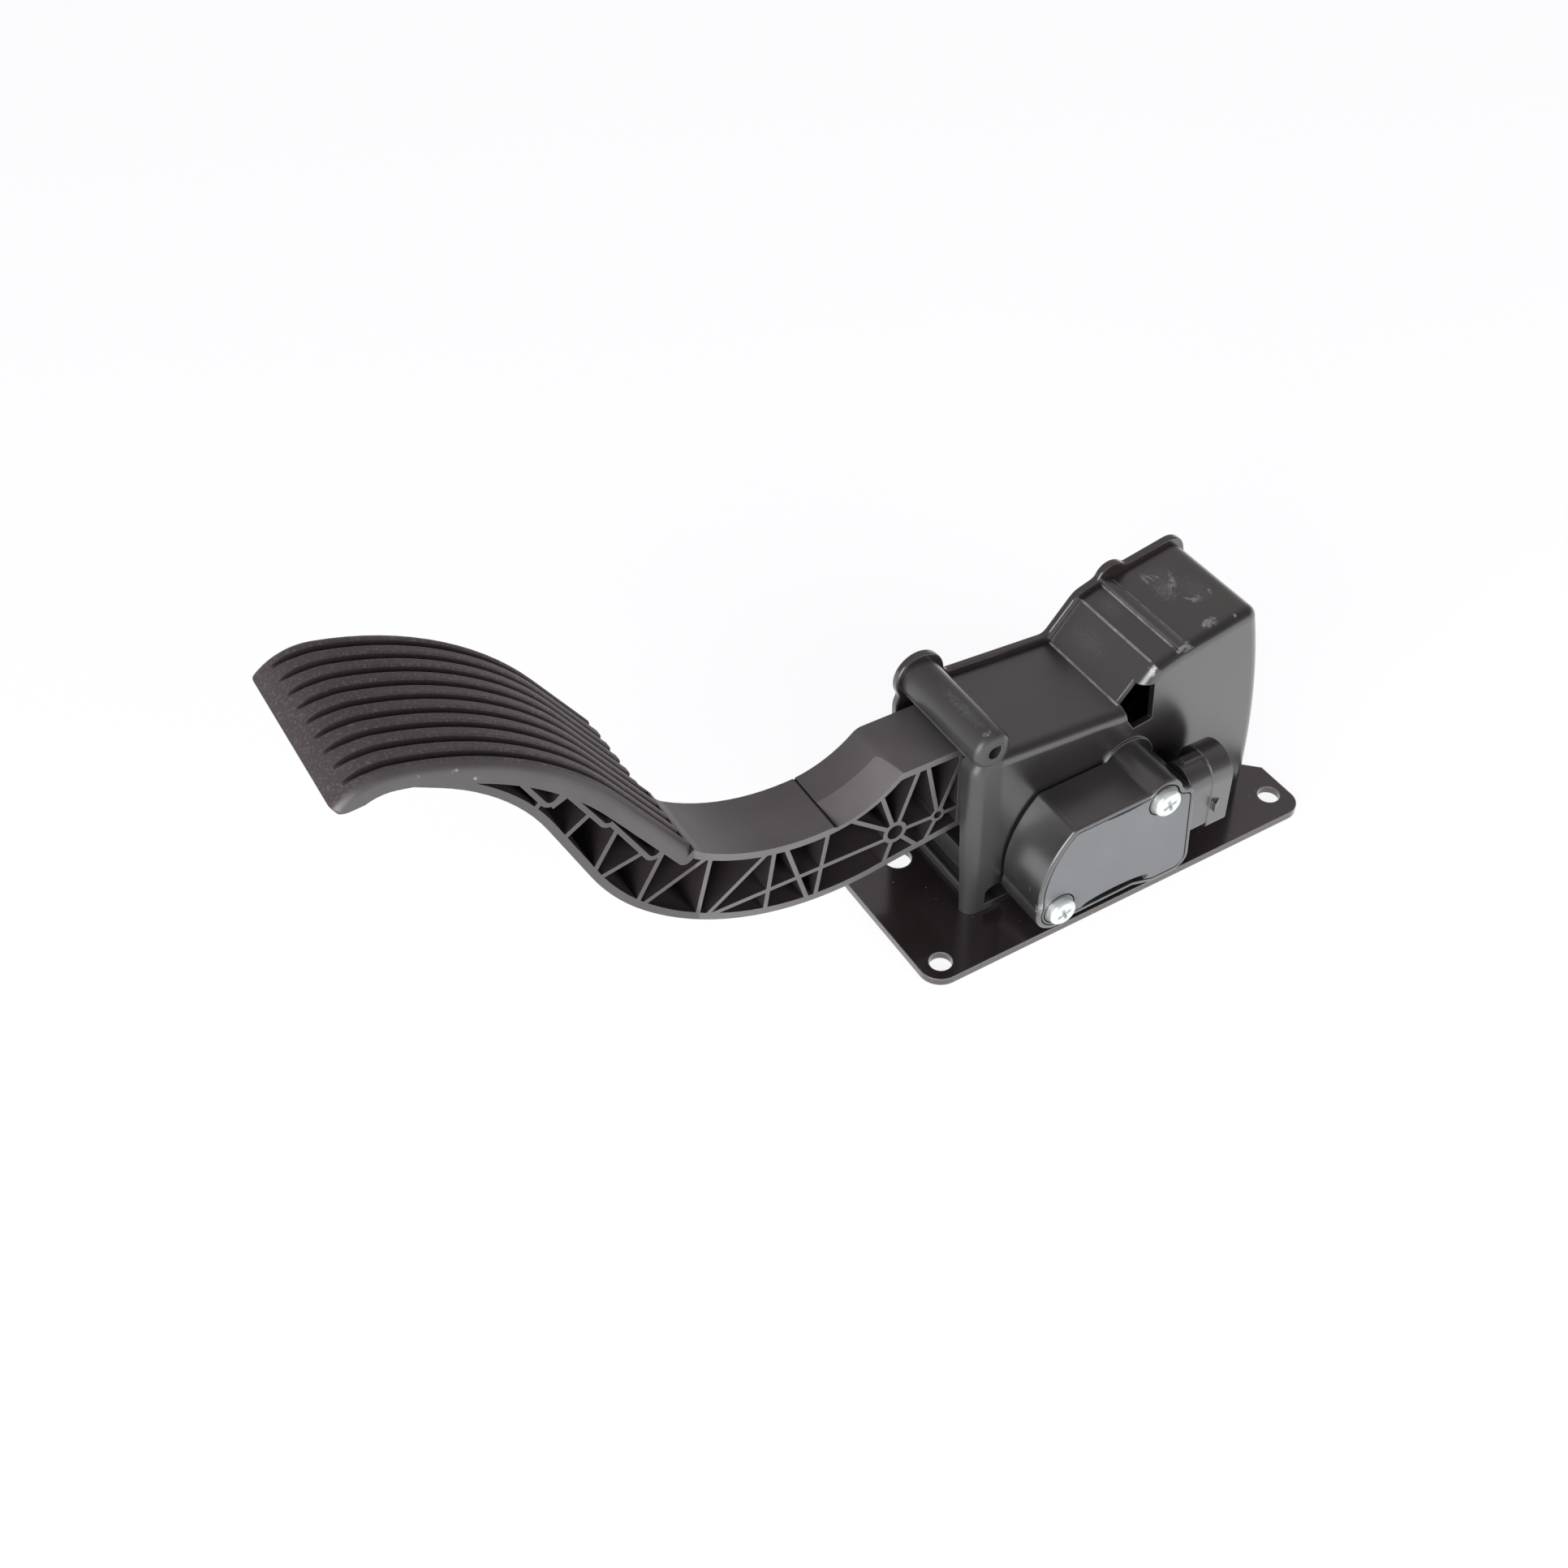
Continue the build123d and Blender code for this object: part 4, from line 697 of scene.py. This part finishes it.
# The same nylon, black and from a finer tool: an oily satin that mirrors the floor, chalky where it was knocked,
# with edges painted pale as a highlight and a painted highlight band along the top of the boss.
HOUSING_NYLON = Moulding(
    "glass_filled_nylon_moulded_black", "#1e1b1c", wear_and_edge_shading="#a9aead", grain_mm=0.35, grain_depth_mm=0.008,
    roughness=0.34, soft_edge_mm=0.6, edge_wear_and_shading=0.4, sheen=1.0, coat=1.0, matt_x_mm=31.0,
    marks=(
        Mark((117.9, 49.8, 93.0), (0.9, 4.2, 2.0), 0.4, -8.0),
        Mark((119.6, 48.9, 93.3), (0.8, 3.2, 2.0), 0.42, 12.0),
        Mark((121.5, 48.1, 93.6), (0.9, 3.0, 2.0), 0.38, 25.0),
        Mark((124.6, 42.3, 94.1), (1.2, 5.6, 2.0), 0.45, -20.0),
        Mark((122.6, 41.0, 93.8), (1.0, 4.2, 2.0), 0.3, -35.0),
        Mark((119.5, 40.0, 93.2), (4.5, 7.0, 2.5), 0.13),
        Mark((125.3, 29.9, 94.2), (2.6, 2.4, 2.0), 0.34),
        Mark((123.4, 31.6, 93.9), (0.9, 2.8, 2.0), 0.4, 30.0),
        Mark((131.2, 29.8, 95.2), (0.8, 2.2, 2.0), 0.42, -18.0),
        Mark((122.0, 45.0, 93.7), (9.0, 11.0, 3.0), 0.07),
        Mark((128.0, 34.0, 94.6), (7.0, 10.0, 3.0), 0.06),
        Mark((101.0, 47.0, 89.0), (4.5, 9.0, 3.0), 0.07),
        Mark((89.5, 44.0, 80.5), (6.0, 12.0, 6.0), 0.05),
        Mark((121.5, 18.0, 93.2), (4.2, 2.4, 2.6), 0.8),
        Mark((130.5, 15.0, 94.6), (0.8, 0.8, 1.5), 0.7),
        Mark((109.4, 15.2, 89.9), (2.2, 1.8, 2.8), 0.9),
        Mark((95.2, 15.0, 84.2), (2.4, 1.8, 3.4), 0.85),
        Mark((25.4, 15.6, 88.6), (1.8, 1.8, 2.0), 0.6),
        # Pale band along the top of the boss: a painted highlight, with some dust.
        Mark((26.0, 30.0, 89.0), (2.6, 17.0, 2.0), 0.16),
    ),
)
# Pale nylon of the welts on the roof's creases: a painted highlight along each crease, broken by specks and dull.
CREASE_HIGHLIGHT_NYLON = Moulding(
    "glass_filled_nylon_crease_highlight", "#858182", wear_and_edge_shading="#b4b1b1", grain_mm=0.5, cloud_mm=4.0, cloud=0.4, roughness=0.4,
    edge_wear_and_shading=0.0, speck=0.4,
)
# Glass-filled polyester, moulded: closer and a little glossier than the nylon, with a dusty scrape at the screw.
SENSOR_CASE = Moulding(
    "polyester_moulded_black", "#2e2d2f", wear_and_edge_shading="#b5b2ab", grain_mm=0.3, grain_depth_mm=0.006,
    roughness=0.34, edge_wear_and_shading=0.3, sheen=1.0, coat=1.0,
    marks=(
        Mark((35.4, -9.0, 20.0), (2.0, 1.6, 4.4), 0.95),
        Mark((35.5, -4.0, 26.5), (2.0, 0.5, 3.6), 0.5),
    ),
)
# Polyester lid from a polished tool: an even grey sheen, and painted shade along its edges for the dark line where it
# sinks into the case.
SENSOR_LID = Moulding(
    "polyester_moulded_grey", "#686b6f", wear_and_edge_shading="#121213", grain_mm=0.4, grain_depth_mm=0.006,
    roughness=0.4, soft_edge_mm=0.6, edge_wear_and_shading=1.6, cloud=0.08, sheen=1.0,
)
# Acetal without dye, moulded: waxy white.
SEAT_ACETAL = Moulding("acetal_moulded_white", "#cfcabf", wear_and_edge_shading="#e4e0d8", grain_mm=0.4, roughness=0.35)
# Polyester rotor, moulded: plain satin black.
ROTOR_PLASTIC = Moulding("polyester_moulded_rotor", "#1d1d1f", grain_mm=0.3, roughness=0.4)
# Nitrile rubber, moulded: dull black that greys where it is struck.
STOP_RUBBER = Moulding(
    "nitrile_rubber_moulded", "#171616", wear_and_edge_shading="#3a3837", grain_mm=0.8, grain_depth_mm=0.03, roughness=0.75,
    edge_wear_and_shading=0.5,
)
# Silicone rubber, moulded: soft red-brown with a slight bloom.
SEAL_RUBBER = Moulding(
    "silicone_rubber_moulded", "#5b2f22", wear_and_edge_shading="#7d4a38", grain_mm=0.6, roughness=0.55, edge_wear_and_shading=0.3
)
# Acetal with PTFE, moulded: waxy and greyish.
BUSH_POLYMER = Moulding("ptfe_acetal_bush", "#8f8a7c", wear_and_edge_shading="#b3ad9c", grain_mm=0.5, roughness=0.4)
# Glass-epoxy laminate under green lacquer, sawn: glossy, with yellow glass at the cut edge.
BOARD_LAMINATE = Moulding(
    "glass_epoxy_laminate", "#1f5a34", wear_and_edge_shading="#c9a25a", grain_mm=0.25, grain_depth_mm=0.006, roughness=0.35,
    cloud=0.1, edge_wear_and_shading=0.4,
)
# Bonded ferrite, pressed: dark grey with fine bright specks.
MAGNET_FERRITE = Moulding(
    "bonded_ferrite_pressed", "#2b2a2c", wear_and_edge_shading="#565356", grain_mm=0.2, grain_depth_mm=0.02, roughness=0.55,
    speck=0.3,
)
# Steel sheet under stoved black enamel: deep gloss with a faint orange peel, dust, and thin pressed edges painted
# pale as a highlight.
BRACKET_PAINT = GlossPaint("steel_sheet_stoved_black", "#2a2324", dust="#b0ada6")
# Steel with bright zinc plate: silvery white, clouded with a hint of green.
ZINC_PLATE = WorkedMetal("steel_zinc_plated", "#f0f5f4", stain="#d9e2e0", roughness=0.28, metallic=0.6)
# Drawn spring steel, oil tempered: brownish grey with draw lines along the wire.
SPRING_WIRE = WorkedMetal(
    "spring_steel_oil_tempered", "#6f6a64", stain="#4b4540", roughness=0.38, line_stretch=(1.0, 1.0, 4.0)
)
# Ground steel: bright, with fine lines round the shaft.
SHAFT_STEEL = WorkedMetal(
    "steel_ground_bright", "#b9bbbd", stain="#8f9194", roughness=0.2, line_stretch=(0.15, 3.0, 0.15)
)
# Spring steel, phosphated: a dull charcoal.
CLIP_STEEL = WorkedMetal("spring_steel_phosphated", "#3b3a38", stain="#2a2927", roughness=0.5)
# Brass with tin plate: soft white metal with a warm cast.
TERMINAL_TIN = WorkedMetal("brass_tin_plated", "#c8c6bd", stain="#a19d8f", roughness=0.28)


def dress(node: str, finish: Any) -> None:
    """Gives a CAD node its material in every slot.

    Args:
        node: Name of the CAD node.
        finish: Finish whose material it takes.
    """
    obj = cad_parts[node]
    material = bpy.data.materials.get(finish.name) or finish.material()
    obj.data.materials.clear()
    obj.data.materials.append(material)
    log.info("dressed %s in %s", node, finish.name)


def lay_mesh(name: str, grid: np.ndarray, finish: Any) -> bpy.types.Object:
    """Makes a closed piece from a grid of points that is round in its second direction and capped at both ends.

    The profile runs clockwise as seen along the path, so that the faces point outwards.

    Args:
        name: Name of the piece.
        grid: Points in metres, shaped along the path, round the profile, 3.
        finish: Its finish.

    Returns:
        The new object.
    """
    rows, ring, _ = grid.shape
    i, j = np.meshgrid(np.arange(rows - 1), np.arange(ring), indexing="ij")
    k = (j + 1) % ring
    quads = np.stack([i * ring + j, i * ring + k, (i + 1) * ring + k, (i + 1) * ring + j], axis=-1).reshape(-1, 4)
    caps = [list(range(ring))[::-1], list(range((rows - 1) * ring, rows * ring))]
    mesh = bpy.data.meshes.new(name)
    mesh.from_pydata(grid.reshape(-1, 3).tolist(), [], quads.tolist() + caps)
    mesh.update()
    obj = bpy.data.objects.new(name, mesh)
    bpy.context.scene.collection.objects.link(obj)
    obj.data.materials.append(bpy.data.materials.get(finish.name) or finish.material())
    log.info("built %s", name)
    return obj


@dataclass
class Bracket:
    """Folded steel bracket."""

    paint: GlossPaint = BRACKET_PAINT

    def build(self) -> None:
        """Dresses the sheet."""
        dress("base_bracket", self.paint)


@dataclass
class Housing:
    """Moulded housing with its rubber stops, and the fine welts along the creases of its roof, pale as a painted
    highlight.
    """

    shell: Moulding = HOUSING_NYLON
    stops: Moulding = STOP_RUBBER
    # Finish of the welts: pale, a painted highlight along each crease.
    line: Moulding = CREASE_HIGHLIGHT_NYLON
    welt_r: float = 0.55 * MM
    welt_steps: int = 60
    welt_sides: int = 14
    welt_domes: int = 20
    welt_tip: float = 0.02
    near_y: float = 16.8 * MM
    far_y: float = 57.6 * MM
    creases: dict[str, tuple[float, float]] = field(default_factory=lambda: {
        "slope_foot_welt": (83.14 * MM, 73.25 * MM), "slope_head_welt": (96.05 * MM, 87.5 * MM),
        "bead_front_welt": (105.0 * MM, 90.45 * MM), "bead_rear_welt": (109.1 * MM, 91.3 * MM),
    })

    def welt(self, name: str, at: tuple[float, float]) -> None:
        """Round line along one crease.

        A point at step t along Y and angle a round it lies at welt_r from the crease's line. welt_r shrinks as a
        quarter round over the first and last of welt_domes parts of the way, down to a small tip, so that both ends
        are domed.

        Args:
            name: Name of the piece.
            at: X and Z of the crease.
        """
        t = np.linspace(0, 1, self.welt_steps)[:, None]
        a = np.linspace(0, 2 * np.pi, self.welt_sides, endpoint=False)[None, :]
        end = np.clip(np.minimum(t, 1 - t) * self.welt_domes, self.welt_tip, 1)
        r = self.welt_r * np.sqrt(1 - (1 - end) ** 2)
        y = self.near_y + (self.far_y - self.near_y) * t + 0 * a
        grid = np.stack([at[0] + r * np.cos(a), y, at[1] - r * np.sin(a)], axis=-1)
        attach(lay_mesh(name, grid, self.line), Body.BASE.value)

    def build(self) -> None:
        """Dresses shell and stops and lays the welts."""
        dress("housing", self.shell)
        for stop in ("idle_stop", "full_stop"):
            dress(stop, self.stops)
        for name, at in self.creases.items():
            self.welt(name, at)


@dataclass
class PedalArm:
    """Ribbed arm with the tread, and the spring seat on its tail."""

    arm: TreadedNylon = ARM_NYLON
    seat: Moulding = SEAT_ACETAL

    def build(self) -> None:
        """Dresses arm and seat."""
        dress("pedal_arm", self.arm)
        dress("spring_seat", self.seat)


@dataclass(frozen=True)
class Coil:
    """Sizes of one spring: mean radius of its turns and wire diameter in metres, and how many turns."""

    radius: float
    wire: float
    turns: int


@dataclass
class ReturnSprings:
    """Two nested coils between the seat and the roof.

    held_high and held_low are not used.
    """

    metal: WorkedMetal = SPRING_WIRE
    axis_x: float = 125.0 * MM
    axis_y: float = 40.15 * MM
    low: float = 27.8 * MM
    roof: float = 87.0 * MM
    held_high: float = 82.0 * MM
    held_low: float = 36.0 * MM
    steps_a_turn: int = 36
    sides: int = 12
    coils: dict[str, Coil] = field(default_factory=lambda: {
        "outer": Coil(8.0 * MM, 2.0 * MM, 8), "inner": Coil(4.6 * MM, 1.3 * MM, 10),
    })

    def coil(self, name: str, size: Coil) -> None:
        """Winds one spring in the place of its CAD solid.

        The wire's middle is at angle a on a circle of the mean radius and climbs evenly from seat to roof. Round
        it, a point at angle b is half a wire away: cos b of that outwards from the spring's axis and sin b of it
        square to both that and the wire.

        Args:
            name: Which of the two it is.
            size: Its sizes.
        """
        a = np.linspace(0, 2 * np.pi * size.turns, size.turns * self.steps_a_turn + 1)[:, None]
        b = np.linspace(0, 2 * np.pi, self.sides, endpoint=False)[None, :]
        climb = (self.roof - self.low - size.wire) / (2 * np.pi * size.turns)
        slant = np.hypot(size.radius, climb)
        out = size.radius + size.wire / 2 * np.cos(b)
        lean = size.wire / 2 * np.sin(b) / slant
        x = self.axis_x + out * np.cos(a) - lean * climb * np.sin(a)
        y = self.axis_y + out * np.sin(a) + lean * climb * np.cos(a)
        z = self.low + size.wire / 2 + climb * a - lean * size.radius
        wire = lay_mesh(f"{name}_spring_coil", np.stack([x, y, z], axis=-1), self.metal)
        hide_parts(f"{name}_return_spring")
        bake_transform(wire)

    def build(self) -> None:
        """Winds both springs."""
        for name, size in self.coils.items():
            self.coil(name, size)


@dataclass
class Pivot:
    """Shaft, bushes and clip."""

    shaft: WorkedMetal = SHAFT_STEEL
    bush: Moulding = BUSH_POLYMER
    clip: WorkedMetal = CLIP_STEEL

    def build(self) -> None:
        """Dresses the bearing parts."""
        dress("pivot_shaft", self.shaft)
        for bush in ("near_bush", "far_bush"):
            dress(bush, self.bush)
        dress("shaft_clip", self.clip)


@dataclass
class AngleSensor:
    """Sensor case, lid, seal, rotor, board and terminals."""

    finishes: dict[str, Any] = field(default_factory=lambda: {
        "sensor_body": SENSOR_CASE, "sensor_cover": SENSOR_LID, "sensor_seal": SEAL_RUBBER,
        "sensor_rotor": ROTOR_PLASTIC, "rotor_magnet": MAGNET_FERRITE, "circuit_board": BOARD_LAMINATE,
        "connector_terminals": TERMINAL_TIN,
    })

    def build(self) -> None:
        """Dresses each sensor part."""
        for node, finish in self.finishes.items():
            dress(node, finish)


@dataclass
class Screws:
    """Screws of the sensor and of the wall."""

    plate: WorkedMetal = ZINC_PLATE

    def build(self) -> None:
        """Dresses both sets."""
        for node in ("sensor_screws", "housing_screws"):
            dress(node, self.plate)


@dataclass
class PhotoCamera:
    """Camera of the photograph, found from the bolt holes and the plate's edges."""

    place_mm: tuple[float, float, float] = (-265.56, -360.73, 532.99)
    azimuth: float = -29.44
    elevation: float = 44.62
    roll: float = -1.64
    focal_px: float = 2381.0
    frame_px: float = 1932.0
    sensor_mm: float = 36.0
    clip_start: float = 10.0 * MM

    def build(self) -> None:
        """Sets the camera by its three axes: right, up and back."""
        az, el, ro = np.radians([self.azimuth, self.elevation, self.roll])
        back = np.array([np.sin(az) * np.cos(el), -np.cos(az) * np.cos(el), np.sin(el)])
        level = np.array([np.cos(az), np.sin(az), 0.0])
        above = np.cross(back, level)
        right = np.cos(ro) * level + np.sin(ro) * above
        up = -np.sin(ro) * level + np.cos(ro) * above
        data = bpy.data.cameras.new("photo_camera")
        data.sensor_width = self.sensor_mm
        data.lens = self.focal_px / self.frame_px * self.sensor_mm
        data.clip_start = self.clip_start
        camera = bpy.data.objects.new("photo_camera", data)
        turn = Matrix(np.stack([right, up, back], axis=1).tolist()).to_4x4()
        camera.matrix_world = Matrix.Translation(Vector(self.place_mm) * MM) @ turn
        bpy.context.scene.collection.objects.link(camera)
        bpy.context.scene.camera = camera


@dataclass
class Studio:
    """White floor, a surround that is pale on the far side and dim behind the camera, and two soft lamps.

    The surround's levels are strengths, and where they change is given as the share of a view ray that points up
    (white_up_to, white_gone_at) or to the far side (far_at, near_at).
    """

    floor_half: float = 12.0
    floor_drop: float = 0.3 * MM
    overhead: float = 0.39
    skyline: float = 0.42
    dim: float = 0.3
    sky_tint: str = "#fff5f6"
    white: str = "#fdfdff"
    white_up_to: float = 0.1
    white_gone_at: float = 0.2
    far_at: float = 0.4
    near_at: float = -0.5
    floor_lit: str = "#e8e8e8"
    floor_shade: str = "#787878"
    floor_glow: float = 0.9
    aim: tuple[float, float, float] = (-0.02, 0.03, 0.06)
    box_side: float = 1.2
    key_place: tuple[float, float, float] = (-1.35, -0.65, 0.5)
    key_power: float = 24.0
    fill_place: tuple[float, float, float] = (0.4, -1.45, 0.45)
    fill_power: float = 22.0

    def lamp(self, name: str, place: tuple[float, float, float], power: float, mirrored: bool) -> None:
        """Adds one square soft box that points at the middle of the part.

        Args:
            name: Name of the lamp.
            place: Where it stands, in metres.
            power: Power in watts.
            mirrored: Whether glossy surfaces show it.
        """
        data = bpy.data.lights.new(name, "AREA")
        data.size = self.box_side
        data.energy = power
        lamp = bpy.data.objects.new(name, data)
        lamp.location = place
        lamp.visible_glossy = mirrored
        ray = Vector(self.aim) - Vector(place)
        lamp.rotation_euler = ray.to_track_quat("-Z", "Y").to_euler()
        bpy.context.scene.collection.objects.link(lamp)

    def seen(self, tree: bpy.types.NodeTree) -> bpy.types.NodeSocket:
        """Tells which rays show the background: those from the camera, in gloss or through glass.

        Args:
            tree: Node tree of the floor's material.

        Returns:
            A socket that is 1 for them and 0 for others.
        """
        path = add_node(tree, "ShaderNodeLightPath")
        gloss = add_node(
            tree, "ShaderNodeMath", {0: path.outputs["Is Glossy Ray"], 1: path.outputs["Is Transmission Ray"]},
            operation="MAXIMUM",
        )
        return add_node(
            tree, "ShaderNodeMath", {0: path.outputs["Is Camera Ray"], 1: gloss.outputs[0]}, operation="MAXIMUM"
        ).outputs[0]

    def surround(self) -> None:
        """Soft light from all round, paler on the far side, with a white skyline that carries on the floor."""
        world = bpy.data.worlds.new("studio_surround")
        world.use_nodes = True
        tree = world.node_tree
        tree.nodes.clear()
        way = add_node(tree, "ShaderNodeTexCoord")
        height = add_node(tree, "ShaderNodeSeparateXYZ", {0: way.outputs["Generated"]})
        level = add_node(
            tree, "ShaderNodeMapRange", {"Value": height.outputs[2], "To Min": self.skyline, "To Max": self.overhead}
        )
        side = add_node(
            tree, "ShaderNodeMapRange",
            {"Value": height.outputs[1], "From Min": self.near_at, "From Max": self.far_at, "To Min": self.dim},
        )
        share = add_node(
            tree, "ShaderNodeMath", {0: level.outputs[0], 1: side.outputs[0]}, operation="MULTIPLY"
        )
        paper = add_node(
            tree, "ShaderNodeMapRange",
            {"Value": height.outputs[2], "From Min": self.white_up_to, "From Max": self.white_gone_at,
             "To Min": 1.0, "To Max": 0.0},
        )
        total = add_node(
            tree, "ShaderNodeMath", {0: share.outputs[0], 1: paper.outputs[0]}, operation="MAXIMUM"
        )
        tint = add_node(
            tree, "ShaderNodeMix", {"Factor": paper.outputs[0], 6: linear(self.sky_tint), 7: linear(self.white)},
            data_type="RGBA",
        )
        light = add_node(
            tree, "ShaderNodeBackground", {"Color": tint.outputs[2], "Strength": total.outputs[0]}
        )
        add_node(tree, "ShaderNodeOutputWorld", {0: light.outputs[0]})
        bpy.context.scene.world = world

    def floor(self) -> None:
        """Pale sheet under the part that keeps a soft shadow."""
        h = self.floor_half
        corners = [(x, y, -self.floor_drop) for x, y in ((-h, -h), (h, -h), (h, h), (-h, h))]
        mesh = bpy.data.meshes.new("floor")
        mesh.from_pydata(corners, [], [(0, 1, 2, 3)])
        floor = bpy.data.objects.new("floor", mesh)
        bpy.context.scene.collection.objects.link(floor)
        paper = bpy.data.materials.new("paper_sweep")
        paper.use_nodes = True
        tree = paper.node_tree
        tree.nodes.clear()
        lit = add_node(tree, "ShaderNodeBsdfDiffuse", {"Color": linear(self.floor_lit)})
        shade = add_node(tree, "ShaderNodeBsdfDiffuse", {"Color": linear(self.floor_shade)})
        glow = add_node(tree, "ShaderNodeEmission", {"Color": linear(self.white), "Strength": self.floor_glow})
        shown = add_node(tree, "ShaderNodeAddShader", {0: shade.outputs[0], 1: glow.outputs[0]})
        mix = add_node(tree, "ShaderNodeMixShader", {0: self.seen(tree), 1: lit.outputs[0], 2: shown.outputs[0]})
        add_node(tree, "ShaderNodeOutputMaterial", {0: mix.outputs[0]})
        mesh.materials.append(paper)

    def build(self) -> None:
        """Sets up floor, surround and lamps."""
        self.surround()
        self.floor()
        self.lamp("key_box", self.key_place, self.key_power, True)
        self.lamp("fill_box", self.fill_place, self.fill_power, False)
        bpy.context.scene.view_settings.view_transform = "Standard"


def main() -> None:
    """Builds each sub-assembly, then the studio and the camera."""
    logging.basicConfig(level=logging.INFO)
    parts = (
        Bracket(), Housing(), PedalArm(), ReturnSprings(), Pivot(), AngleSensor(), Screws(), Studio(), PhotoCamera(),
    )
    for part in parts:
        part.build()
        log.info("%s done", type(part).__name__)


if __name__ == "__main__":
    main()
